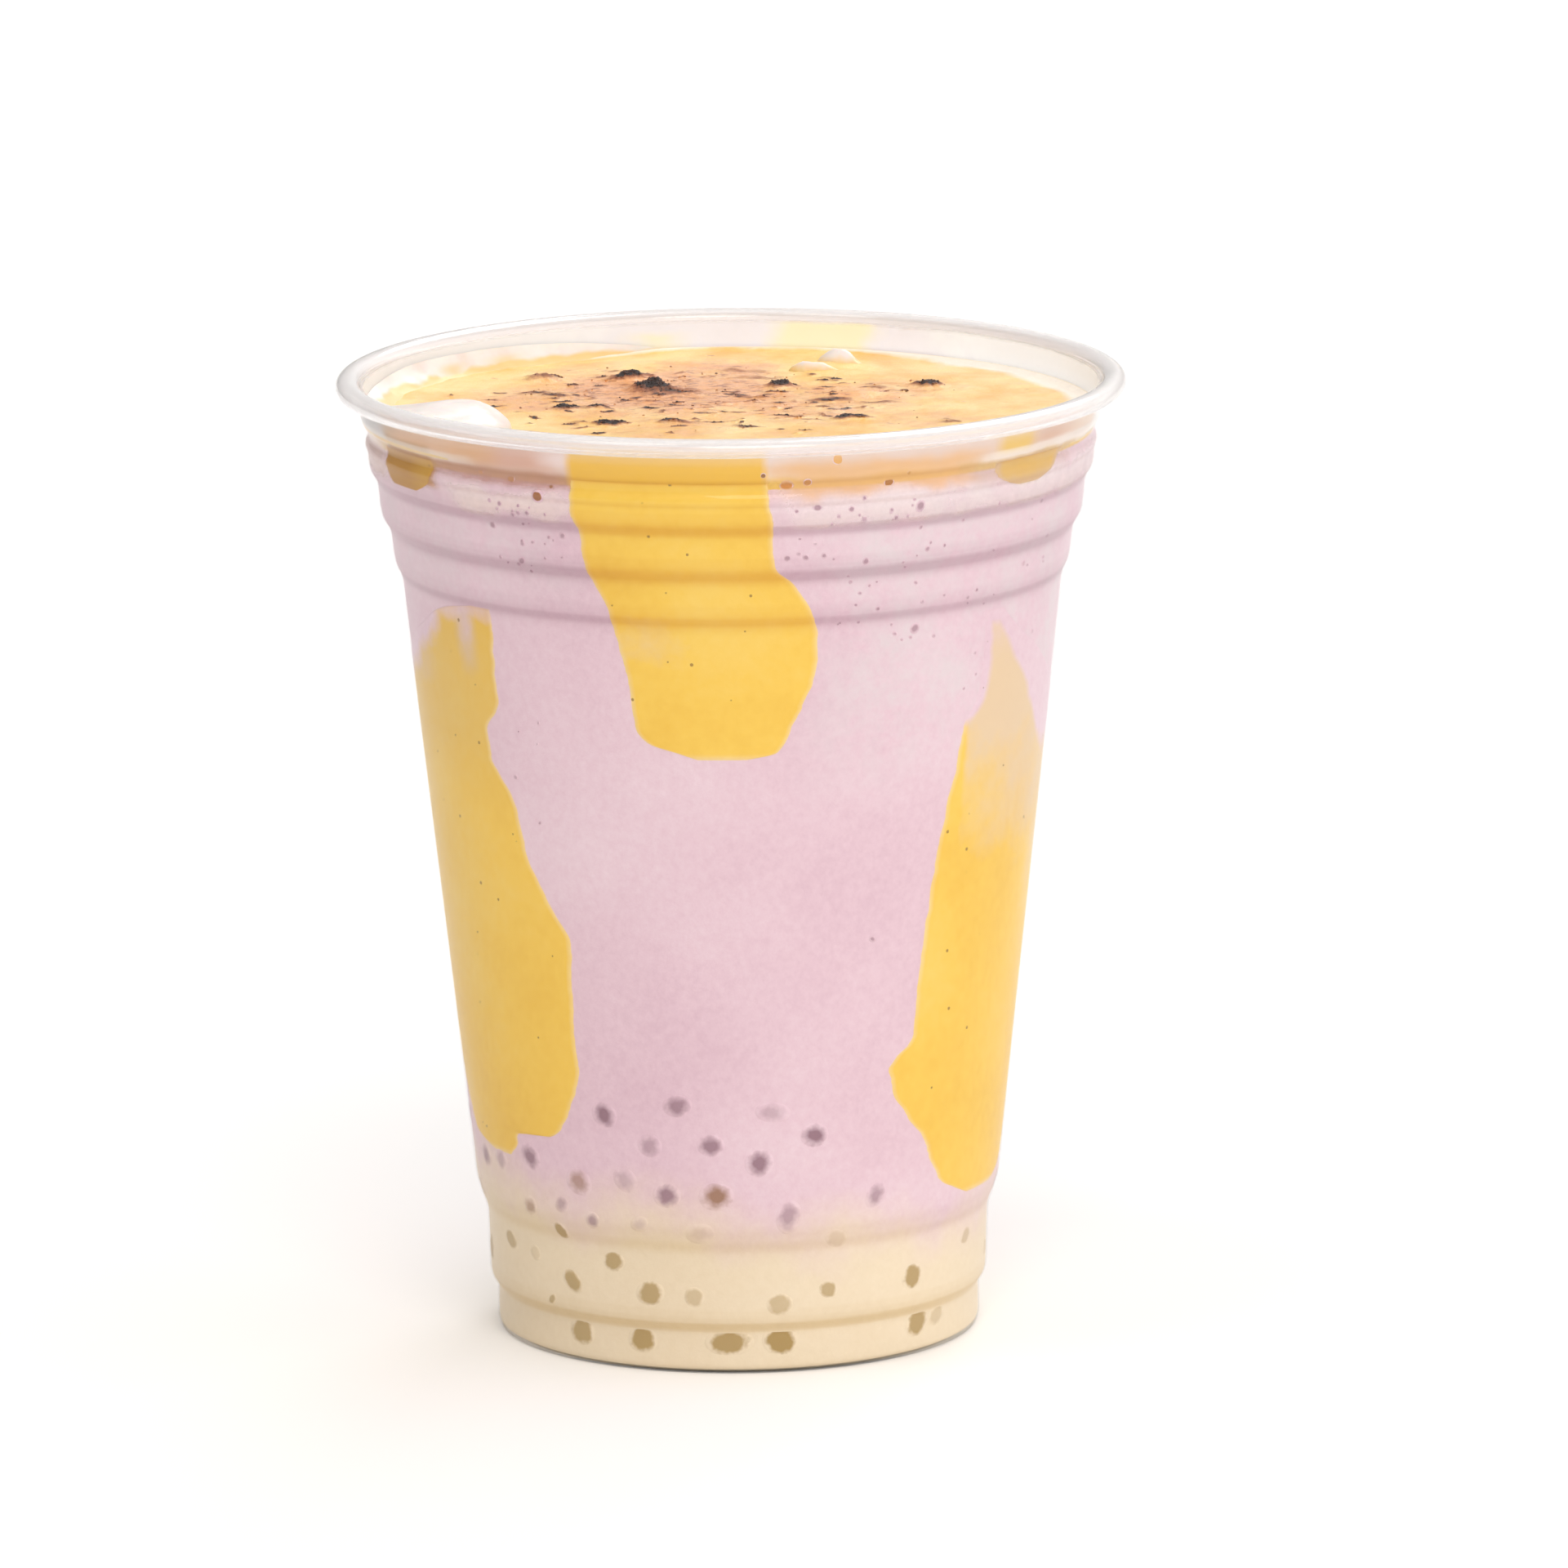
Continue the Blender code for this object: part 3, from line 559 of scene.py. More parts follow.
def wallFilm():
    # Thin milky film left on the plastic by cream and custard: see-through, denser in streaks and spots.
    material, tree = newMaterial("dried_milk_film")
    place = addNode(tree, "ShaderNodeTexCoord").outputs["Object"]
    tint, cover, sheer = (addNode(tree, "ShaderNodeAttribute", attribute_name=label)
                          for label in ("tint", "cover", "sheer"))
    patchy = addNode(tree, "ShaderNodeTexNoise", {"Vector": place, "Scale": 240, "Detail": 5,
                                                 "Roughness": 0.7})
    swing = addNode(tree, "ShaderNodeMapRange", {"Value": patchy, "From Min": 0.3, "From Max": 0.7,
                                                "To Min": -0.22, "To Max": 0.22})
    edge = addNode(tree, "ShaderNodeMath", {0: cover.outputs["Fac"], 1: 4}, operation="MULTIPLY")
    edge = addNode(tree, "ShaderNodeMath", {0: edge, 1: 1.0}, operation="MINIMUM")
    swing = addNode(tree, "ShaderNodeMath", {0: swing, 1: edge}, operation="MULTIPLY")
    thinness = addNode(tree, "ShaderNodeMath", {0: 1.1, 1: cover.outputs["Fac"]}, operation="SUBTRACT")
    swing = addNode(tree, "ShaderNodeMath", {0: swing, 1: thinness}, operation="MULTIPLY")
    share = addNode(tree, "ShaderNodeMath", {0: cover.outputs["Fac"], 1: swing}, operation="ADD",
                    use_clamp=True)
    # painted shade under the wall's outward steps
    shaded = paintStepShade(tree, tint.outputs["Color"], filmStepShade)
    skin = addNode(tree, "ShaderNodeBsdfPrincipled", {
        "Base Color": shaded, "Roughness": 0.4, "Specular IOR Level": 0.2, "Alpha": share,
        "Subsurface Weight": sheer.outputs["Fac"], "Subsurface Radius": (1, 1, 1),
        "Subsurface Scale": 0.003})
    # too thin to shade the drink that it lies on
    path = addNode(tree, "ShaderNodeLightPath")
    clear = addNode(tree, "ShaderNodeBsdfTransparent")
    passing = addNode(tree, "ShaderNodeMath", {0: path.outputs["Is Shadow Ray"],
                                               1: path.outputs["Is Diffuse Ray"]}, operation="MAXIMUM")
    mix = addNode(tree, "ShaderNodeMixShader", {0: passing, 1: skin, 2: clear})
    addNode(tree, "ShaderNodeOutputMaterial", {"Surface": mix})
    return material


beadEdge = 0.74  # share of a bead's radius beyond which only the drink's colour shows


def sunkenBead(name, gloss):
    # A soft bead seen through milky liquid: its own colour at the middle, the drink's round its edge.
    material, tree = newMaterial(name)
    liquid, place, _, shade = drinkColour(tree)
    tint, strength, fade, core = (addNode(tree, "ShaderNodeAttribute", attribute_name=label)
                                  for label in ("tint", "strength", "fade", "core"))
    mottled = addNode(tree, "ShaderNodeTexNoise", {"Vector": place, "Scale": 900, "Detail": 3})
    swing = addNode(tree, "ShaderNodeMath", {0: mottled, 1: 0.5, 2: fade.outputs["Fac"]},
                    operation="MULTIPLY_ADD")
    centred = addNode(tree, "ShaderNodeMath", {0: swing, 1: 0.25}, operation="SUBTRACT")
    rim = addNode(tree, "ShaderNodeMapRange", {"Value": centred, "From Min": beadEdge,
                                              "From Max": core.outputs["Fac"]})
    share = addNode(tree, "ShaderNodeMath", {0: rim, 1: strength.outputs["Fac"]}, operation="MULTIPLY")
    mixed = addNode(tree, "ShaderNodeMix", {"Factor": share, "A": liquid, "B": tint.outputs["Color"]},
                    data_type="RGBA")
    # painted shade under the wall's outward steps
    shaded = paintStepShade(tree, mixed, shade)
    skin = addNode(tree, "ShaderNodeBsdfPrincipled", {
        "Base Color": shaded, "Roughness": 0.5, "Specular IOR Level": gloss})
    addNode(tree, "ShaderNodeOutputMaterial", {"Surface": skin})
    return material


finishes = {
    "pet": clearPet(),
    "milk": taroDrink("milk_layer_emulsion"),
    "taro": taroDrink("taro_milk_tea"),
    "custard": custard(),
    "torched": torchedCustard(),
    "char": charCrumb(),
    "cream": wetCream(),
    "film": wallFilm(),
    "sago": sunkenBead("cooked_sago", 0.2),
    "bubble": sunkenBead("trapped_air_bubble", 0.3),
    "drop": sunkenBead("torched_custard_drop", 0.3),
}
print("finishes made")

cup = turnedPiece("cup_clear", makeCupOutline(), cupShape["segments"], finishes["pet"])
attach(cup, "cup")
print("cup turned")

liquids = {
    "intoWall": 0.22,  # the drink's face lies this far inside the wall's outer face, in the sheet
    "milkHeight": 13.8, "milkTilt": 3.0, "milkWave": 0.8,
    "milkFloor": 2.88, "taroTop": 113.9,
    "segments": 216,
}


def milkWave(angle, share):
    turn = np.radians(angle)
    return share * (-liquids["milkTilt"] * np.sin(turn) + liquids["milkWave"] * np.sin(3 * turn + 0.6))


def milkLift(angle, radius, height):
    weight = float(np.clip((height - 6) / (liquids["milkHeight"] - 6), 0, 1))
    return height + weight * milkWave(angle, np.clip(np.asarray(radius) / 31.0, 0, 1))


def taroLift(angle, radius, height):
    weight = float(np.clip((26 - height) / (26 - liquids["milkHeight"]), 0, 1))
    return height + weight * milkWave(angle, np.clip(np.asarray(radius) / 31.0, 0, 1))


def frostValues(points):
    # pale frosty mottling on the upper right, faint elsewhere near the top
    angle, height = angleOf(points), points[:, 2]
    frost = 0.85 * softPatch(angle, height, (16, 100), (78, 113), (12, 9))
    frost = np.maximum(frost, 0.5 * softPatch(angle, height, (-180, -24), (97, 112), (14, 6)))
    frost = np.maximum(frost, 0.4 * softPatch(angle, height, (100, 180), (70, 112), (14, 8)))
    # the second value is painted shade under the wall's outward steps
    return {"frost": frost * (0.75 + 0.25 * wobble(points, 18, 3)), "crease": stepShadeAt(height)}


level = liquids["milkHeight"]
milkRows = [(reach, liquids["milkFloor"]) for reach in (0, 10, 20, 26.5)]
milkRows += [(27.2, 2.62), (27.7, 2.0), (28.0, 1.2), (28.4, 0.7), (29.0, 0.48), (29.4, 0.5)]
milkRows += [(None, z) for z in wallHeights(0.75, level)]
milkRows += [(28, level), (22, level), (15, level), (8, level), (0, level)]
taroRows = [(0, level), (8, level), (15, level), (22, level), (28, level)]
taroRows += [(None, z) for z in wallHeights(level, liquids["taroTop"])]
taroRows += [(36, liquids["taroTop"]), (20, liquids["taroTop"]), (0, liquids["taroTop"])]
for name, rows, lift, node, finish in (
        ("milk", milkRows, milkLift, "milk_layer", "milk"),
        ("taro_tea", taroRows, taroLift, "taro_drink", "taro")):
    liquid = turnedPiece(name, rows, liquids["segments"], finishes[finish], lift, liquids["intoWall"],
                         frostValues)
    attach(liquid, node)
print("milk and taro poured")

custardRuns = {
    # how far inside the wall's outer face a run lies: proud of the drink, with its edge sunk in it
    "face": 0.14, "sunkEdge": 0.29, "edgeWidth": 0.45,
    "thickness": 1.6, "thinEdge": 0.5,
    "thinTop": 0.9, "thinFrom": 113.6,  # thinner above this height, under the custard on top
    "spread": 0.15,  # each side lies this far past its outline
    "wander": 0.45, "fringe": 0.13, "fringeLow": 0.12,  # unevenness, with more of the fine kind low down
    "rowStep": 0.4,
    "columns": 44,
    # outlines: (height, left edge, right edge)
    "outlines": {
        "custard_run_front": [
            (79.2, -6, 1.5), (80.0, -9.6, 7.4), (81.2, -15, 9.1), (83.0, -17.2, 10.3), (86.0, -18, 12.5),
            (90.5, -18.8, 14.4), (95.0, -20.6, 14.8), (98.0, -21.5, 13.4), (101.2, -23.4, 10.5),
            (103.9, -24.3, 7), (107.6, -25, 6.8), (109.4, -25.5, 7), (111.2, -26, 6.5), (113.5, -26, 6),
            (114.3, -25.7, 5.8)],
        "custard_run_left": [
            (25.3, -64, -57.5), (27.0, -76, -54.2), (28.6, -78, -52.6), (29.0, -78.5, -42.5),
            (30.5, -81, -39), (33.5, -84, -36.6), (39.0, -88, -34.1), (47.0, -91, -33.8),
            (54.0, -95, -33.4), (60.0, -97, -38.6), (65.0, -98, -42.3), (72.0, -98, -44.5),
            (77.0, -97, -49.4), (80.5, -96, -49.6), (84.0, -92, -46.2), (88.5, -81, -46),
            (92.0, -70, -46), (95.0, -60, -46), (96.3, -50, -46)],
        "custard_run_right": [
            (19.7, 61, 73), (20.8, 56, 80), (22.4, 50, 84), (25.0, 46.4, 86), (28.5, 43.4, 88),
            (31.5, 38.6, 90), (35.0, 34.8, 91), (38.0, 32.8, 92), (39.8, 34.6, 93), (41.5, 37.5, 94),
            (48.0, 38.8, 96), (57.0, 40, 97), (65.0, 41.6, 97), (72.0, 43.2, 95), (77.5, 45, 92),
            (81.0, 46, 88), (84.0, 49, 80), (88.0, 49.5, 70), (91.5, 49.5, 61), (95.2, 50, 54)],
        "custard_run_back": [
            (73.3, 160, 165), (76.0, 157, 167), (82.0, 155, 169), (89.0, 155, 170), (95.0, 154, 172),
            (101.2, 152, 175), (103.9, 150, 177), (107.6, 149, 178), (111.2, 148, 177), (113.5, 148, 177),
            (114.3, 148, 177)],
        "custard_run_back_left": [
            (32.3, -140, -131), (36.0, -144, -127), (42.0, -148, -123), (50.0, -150, -122),
            (60.0, -149, -125), (69.0, -146, -127), (77.0, -143, -126), (84.0, -139, -127),
            (88.2, -135, -131)],
        "custard_run_back_right": [
            (27.8, 134, 139), (32.0, 130, 143), (39.0, 127, 146), (47.0, 125, 145), (55.0, 126, 142),
            (62.0, 128, 139), (66.2, 132, 135)],
        "custard_patch_left": [
            (110.0, -67, -59), (111.0, -69, -56), (112.2, -69.5, -54.5), (113.5, -69.5, -54),
            (114.3, -69.3, -54)],
        "custard_patch_right": [
            (111.0, 52, 56), (111.9, 48, 59.5), (112.8, 46, 61.5), (113.5, 46, 63), (114.3, 46, 64)],
    },
}


def runValues(node):
    def values(points, inward):
        angle, height = angleOf(points), points[:, 2]
        rim = (1 - softStep(0.15, 0.9, inward)) * ("patch" not in node)
        melt = np.zeros(len(points))
        drift = 3 * wobble(points, 9, 5)
        veil = np.zeros(len(points))
        ochre = np.zeros(len(points))
        if node == "custard_run_right":
            # the milk has washed over the upper part, leaving a crisp tongue at the left edge
            veil = softStep(0, 30, height - 52 + drift - 0.3 * (58 - angle))
            veil = veil * softStep(45.2, 47.6, angle + 0.25 * drift) * (0.7 + 0.3 * softStep(76, 88, height))
            melt = 0.3 * softStep(82, 95, height + drift)
            melt = np.maximum(melt, softStep(80, 83, height) * (1 - softStep(0.2, 3.0, inward)))
            beyond = angle - 58.5 - 1.25 * (88.8 - height)
            melt = np.maximum(melt, softStep(-2, 3, beyond + 0.6 * drift) * softStep(70, 80, height))
        elif node == "custard_run_left":
            veil = 0.5 * softPatch(angle, height, (-130, -66), (84, 110), (8, 4))
            veil = np.maximum(veil, 0.8 * softPatch(angle, height, (-56, -51), (88, 99), (3, 5)))
            # painted shade: the left run darkens towards ochre over the cup's left and back, more in its
            # upper part
            ochre = 0.1 * softPatch(angle, height, (-140, -60), (20, 104), (14, 8))
            ochre = np.maximum(ochre, 0.24 * softPatch(angle, height, (-140, -40), (74, 104), (8, 8)))
            melt = softStep(88, 97, height + drift - 0.33 * (angle + 62)) * (1 - softStep(-67, -59, angle))
            melt = np.maximum(melt, 0.42 * softPatch(angle, height, (-55.5, -51), (91, 99), (2.5, 3)))
            melt = np.maximum(melt, 0.5 * softStep(93.5, 96, height + 0.5 * drift))
        elif node == "custard_run_front":
            veil = 0.3 * softPatch(angle, height, (-26, -6), (91, 99), (7, 3))
        elif node == "custard_run_back":
            veil = 0.4 * softPatch(angle, height, (140, 190), (86, 104), (8, 5))
        elif node == "custard_run_back_left":
            veil = 0.55 * softStep(58, 84, height + drift)
            melt = softStep(78, 89, height + drift)
        elif node == "custard_run_back_right":
            veil = 0.55 * softStep(40, 62, height + drift)
            melt = softStep(57, 67, height + drift)
        elif node == "custard_patch_left":
            # browner custard, darker still towards the cup's left as painted shade
            ochre = 0.92 - 0.2 * softStep(-62, -55, angle)
        elif node == "custard_patch_right":
            ochre = np.full(len(points), 0.38)
            veil = 0.4 + 0.55 * (1 - softStep(0.1, 1.8, inward))
        # the last value is painted shade under the wall's outward steps
        return {"veil": veil, "ochre": ochre, "rim": rim, "melt": melt, "crease": stepShadeAt(height)}
    return values


def makeRun(node, outline, seed):
    s = custardRuns
    heights = np.array([row[0] for row in outline], float)
    left = smoothCurve([(row[0], row[1]) for row in outline])
    right = smoothCurve([(row[0], row[2]) for row in outline])
    low, high = heights[0] - 0.2, heights[-1] + 0.2
    openTop = outline[-1][0] > 114  # such a run starts from the custard on top
    count = int((high - low) / s["rowStep"]) + 2
    marks = low + (high - low) * (0.5 - 0.5 * np.cos(np.linspace(0, math.pi, count)))
    marks = 0.6 * marks + 0.4 * np.linspace(low, high, count)
    columns = s["columns"]
    across = 0.5 - 0.5 * np.cos(np.linspace(0, math.pi, columns))
    across = 0.5 * across + 0.5 * np.linspace(0, 1, columns)
    rows = []
    reaches = []
    for z in marks:
        degree = math.degrees(1 / float(wallAt(z)))  # degrees for a mm along the wall
        fine = s["fringe"] + s["fringeLow"] * (z < 45)
        ragged = [s["wander"] * noise.fractal(Vector((seed * 3.7 + k * 11, z / 6.0, 0.5)), 0.9, 2.2, 4)
                  + fine * noise.fractal(Vector((seed * 5.1 + k * 7, z / 1.3, 2.5)), 0.9, 2.2, 3)
                  for k in (0, 1)]
        start = float(left(z)) - (s["spread"] + ragged[0]) * degree
        stop = float(right(z)) + (s["spread"] + ragged[1]) * degree
        angles = start + (stop - start) * across
        fromSides = np.minimum(across, 1 - across) * (stop - start) / degree
        fromEnds = z - low if openTop else min(z - low, high - z)
        inward = np.minimum(fromSides, fromEnds * 0.8)
        face = s["sunkEdge"] - (s["sunkEdge"] - s["face"]) * softStep(0, s["edgeWidth"], inward)
        outer = around(angles, wallAt(z) - face, z)
        depth = softStep(0, 2.5, np.minimum(fromSides, fromEnds))
        depth = s["thinEdge"] + (s["thickness"] - s["thinEdge"]) * depth
        if z > s["thinFrom"]:
            depth = np.minimum(depth, s["thinTop"])
        inner = around(angles, wallAt(z) - face - depth, z)
        rows.append(np.concatenate([outer, inner[::-1]]))
        reaches.append(np.concatenate([inward, inward[::-1]]))
    ring = 2 * columns
    points = np.concatenate(rows)
    faces = loftFaces(len(rows), ring, True)
    faces.append(tuple(range(ring)))
    faces.append(tuple(range((len(rows) - 1) * ring, len(rows) * ring)))
    piece = meshPiece(node.replace("custard_", "sauce_"), points, faces, finishes["custard"],
                      runValues(node)(points, np.concatenate(reaches)))
    attach(piece, node)


def onCustard(angle, height, margin):
    # whether a place on the wall lies on a run, or within margin degrees of one
    turned = (angle + 180) % 360 - 180
    for outline in custardRuns["outlines"].values():
        if outline[0][0] - 1 < height < outline[-1][0] + 1:
            left, right = (float(smoothCurve([(row[0], row[side]) for row in outline])(height))
                           for side in (1, 2))
            if left - margin < turned < right + margin:
                return True
    return False


for seed, (node, outline) in enumerate(custardRuns["outlines"].items()):
    makeRun(node, outline, seed)
print("custard runs laid on the wall")

torchedTop = {
    "bottom": 113.75, "level": 115.5, "meniscus": 0.45, "meniscusWidth": 2.2,
    "swell": 0.2, "ripple": 0.07, "crinkle": 0.1,  # waves of the skin, wide to fine
    "craggy": (0.7, 0.75), "highest": 1.6,  # share of a lump's rise kept, share by its noise, its limit
    # melted cream lies along the wall, wider where listed: (angles, blur, extra width)
    "milkyEdge": 1.0, "milkyFade": 3.4, "milkyEdges": [((-166, -92), 12, 2.4), ((60, 150), 20, 3.4)],
    # folds of custard round the dollops: (x, y, half length, half width, rise)
    "folds": [(13.5, 32.5, 4.6, 2.6, 0.6), (11.5, 27.6, 4.4, 1.8, 0.4), (17.5, 11.5, 4.5, 1.4, 0.45)],
    "segments": 440, "rings": 150,
    # small burnt flecks besides the lumps listed, drawn round a centre
    "flecks": 150, "fleckSeed": 23, "fleckCentre": (-2, 7), "fleckSpread": (14, 12),
    # char: (x, y, half length, half width, rise, burn)
    "char": [
        (-12.5, 24.5, 2.8, 1.5, 1.15, 1.0), (-10.2, 16.0, 2.6, 1.8, 1.3, 1.02),
        (-8.0, 14.5, 4.8, 2.6, 0.4, 0.7), (-20.3, 2.5, 2.0, 1.5, 0.55, 0.95),
        (-16.8, 3.0, 1.5, 1.4, 0.55, 0.92), (-24.0, 14.0, 3.6, 1.4, 0.25, 0.62),
        (-22.2, 12.0, 1.8, 1.3, 0.3, 0.75), (-14.8, -8.2, 2.0, 1.4, 0.5, 0.9),
        (-18.6, -6.6, 1.3, 1.0, 0.3, 0.7), (-7.4, -6.8, 2.2, 1.3, 0.45, 0.85),
        (-6.0, -7.5, 3.4, 1.4, 0.15, 0.55), (2.1, -11.3, 1.6, 1.0, 0.3, 0.75),
        (5.9, 17.2, 2.1, 1.4, 0.7, 0.9), (15.0, -5.6, 2.4, 1.4, 0.6, 0.95),
        (24.8, 17.6, 2.2, 1.4, 0.9, 0.85), (12.6, 7.4, 3.2, 1.6, 0.2, 0.65),
        (18.0, 5.0, 2.6, 1.4, 0.15, 0.55), (-24.5, 23.6, 2.6, 1.8, 0.9, 0.6),
        (-22.5, 24.5, 1.2, 0.8, 0.3, 0.8), (18.4, -19.0, 2.0, 1.2, 0.4, 0.8),
        (-6.0, -23.0, 2.4, 1.4, 0.4, 0.85), (-19.0, -23.0, 1.8, 1.2, 0.3, 0.8),
        (1.0, 29.0, 3.2, 1.3, 0.1, 0.55), (3.5, 24.0, 3.6, 1.2, 0.1, 0.5),
        (-16.5, 26.0, 1.5, 0.9, 0.2, 0.75), (18.5, 16.5, 1.6, 1.0, 0.2, 0.55),
        (-30.0, 10.0, 1.6, 0.8, 0.1, 0.6), (8.5, -27.0, 2.2, 1.3, 0.3, 0.75),
        (27.0, -9.0, 1.8, 1.1, 0.2, 0.6), (-28.0, -14.0, 1.6, 1.0, 0.2, 0.6)],
    "toast": [  # (x, y, radius, strength)
        (-8, 14, 22, 0.95), (10, 6, 18, 0.66), (-2, 27, 13, 0.75), (-8, -12, 16, 0.35), (20, 14, 10, 0.6),
        (-24, 10, 12, 0.6), (6, -22, 12, 0.25), (22, -6, 10, 0.4), (-18, 30, 8, 0.4)],
}


def charFields(points):
    # the lumps' outlines wander, so that none is a plain oval
    x = points[:, 0] + 1.3 * wobble(points, 2.6, 51, 4)
    y = points[:, 1] + 0.9 * wobble(points, 2.6, 57, 4)
    burnt = np.zeros(len(points))
    rise = np.zeros(len(points))
    rng = np.random.default_rng(torchedTop["fleckSeed"])
    flecks = []
    for _ in range(torchedTop["flecks"]):
        spot = rng.normal(0, 1, 2) * torchedTop["fleckSpread"] + torchedTop["fleckCentre"]
        flecks.append((spot[0], spot[1], rng.uniform(0.35, 1.4), rng.uniform(0.3, 0.8),
                       rng.uniform(0.03, 0.28), rng.uniform(0.45, 0.95)))
    for cx, cy, halfX, halfY, lift, burn in torchedTop["char"] + flecks:
        away = ((x - cx) / halfX) ** 2 + ((y - cy) / halfY) ** 2
        close = away < 6
        shape = np.exp(-0.9 * away[close] ** 1.2)
        burnt[close] = np.maximum(burnt[close], burn * shape)
        rise[close] = np.maximum(rise[close], lift * shape)
    toast = np.zeros(len(points))
    for cx, cy, radius, strength in torchedTop["toast"]:
        away = np.hypot(x - cx, y - cy) / radius
        toast = np.maximum(toast, strength * (1 - softStep(0.35, 1.15, away)))
    return burnt, rise, toast


def makeTorchedTop():
    s = torchedTop
    segments = s["segments"]
    angles = np.arange(segments) * 360 / segments
    rows = [np.array([[0, 0, s["bottom"]]])]
    rows += [around(angles, radius, s["bottom"]) for radius in (20.0, 40.0)]
    edge = liquids["intoWall"]
    for z in np.linspace(s["bottom"], s["level"] + s["meniscus"], 9):
        rows.append(around(angles, wallAt(z) - edge, z))
    sideRows = len(rows)
    outer = float(wallAt(s["level"] + s["meniscus"])) - edge
    for k in range(1, s["rings"]):
        share = k / s["rings"]
        radius = outer * (1 - share)
        if k < 5:
            radius = outer - 0.14 * k  # close rows up the meniscus
        rows.append(around(angles, max(radius, 0.3), s["level"]))
    rows.append(np.array([[0, 0, s["level"]]]))
    points = np.concatenate(rows)
    top = np.arange(len(points)) >= 1 + (sideRows - 1) * segments
    face = points[top]
    burnt, rise, toast = charFields(face)
    radius = np.hypot(face[:, 0], face[:, 1])
    meniscus = s["meniscus"] * (1 - softStep(0, s["meniscusWidth"], outer - radius)) ** 1.5
    swell = s["swell"] * wobble(face, 11, 1) + s["ripple"] * wobble(face, 3.2, 9, 3)
    swell = swell * softStep(0, 2, outer - radius)
    craggy = s["craggy"][0] + s["craggy"][1] * np.abs(wobble(face, 1.5, 2, 4))
    crinkle = s["crinkle"] * toast * wobble(face, 2.4, 4, 4)
    folds = np.zeros(len(face))
    for cx, cy, halfX, halfY, lift in s["folds"]:
        away = ((face[:, 0] - cx) / halfX) ** 2 + ((face[:, 1] - cy) / halfY) ** 2
        folds = np.maximum(folds, lift * np.exp(-away))
    face[:, 2] = s["level"] + meniscus + swell + crinkle + folds
    face[:, 2] += np.minimum(rise * craggy, s["highest"])
    points[top] = face
    values = {label: np.zeros(len(points)) for label in ("burnt", "toast", "side", "whiten")}
    values["burnt"][top] = burnt
    values["toast"][top] = toast
    values["side"][~top] = 1.0
    values["side"][top] = 1 - softStep(0.0, 0.6, outer - radius)
    width = np.full(len(face), s["milkyEdge"])
    for span, blur, extra in s["milkyEdges"]:
        width += extra * softPatch(angleOf(face), radius, span, (0, 60), (blur, 1))
    fromWall = (outer - radius) / (1 + 0.25 * wobble(face, 6, 8))
    values["whiten"][top] = 1 - softStep(np.maximum(0, width - s["milkyFade"]), width, fromWall)
    faces = loftFaces(len(rows), segments, True, True, True)
    piece = meshPiece("torched_skin", points, faces, finishes["torched"], values)
    attach(piece, "torched_custard")
    return piece


torchedSkin = makeTorchedTop()
print("custard torched")

creamBands = {
    # (angle, inner radius, crest radius, crest height)
    "cream_wall": [
        (-172, 45.0, 45.2, 115.9), (-156, 43.2, 44.7, 117.4), (-143, 42.6, 44.4, 118.0),
        (-132, 42.9, 44.5, 118.2), (-120, 42.4, 44.3, 118.2), (-107, 42.0, 44.0, 117.7),
        (-95.2, 40.4, 42.6, 116.9)],
    "cream_mound": [
        (-95.0, 40.4, 42.6, 116.9), (-88, 37.0, 40.5, 116.8), (-80, 31.5, 36.5, 118.2),
        (-73, 28.5, 35.0, 118.8), (-64, 30.2, 36.6, 118.3), (-56, 34.5, 39.6, 117.3),
        (-49, 39.6, 42.4, 116.3)],
}


creamShape = {
    "base": 115.1, "gap": 0.42,  # its foot, and its distance from the wall's outer face
    "arc": 26, "crest": 0.35,  # points across a section, and the share of them before the crest
    "uneven": 0.35, "shift": 0.012,
    # angles between which the mound swells up, and between which it sinks again
    "full": ((-94, -80), (-60, -50)),
    "stain": 0.92, "stainTop": {True: (0.75, 1.35), False: (0.1, 0.9)},  # heights over the foot, by slumped
    "spots": (-128, -140),  # two yellow stains at the toe of the wall's cream
}


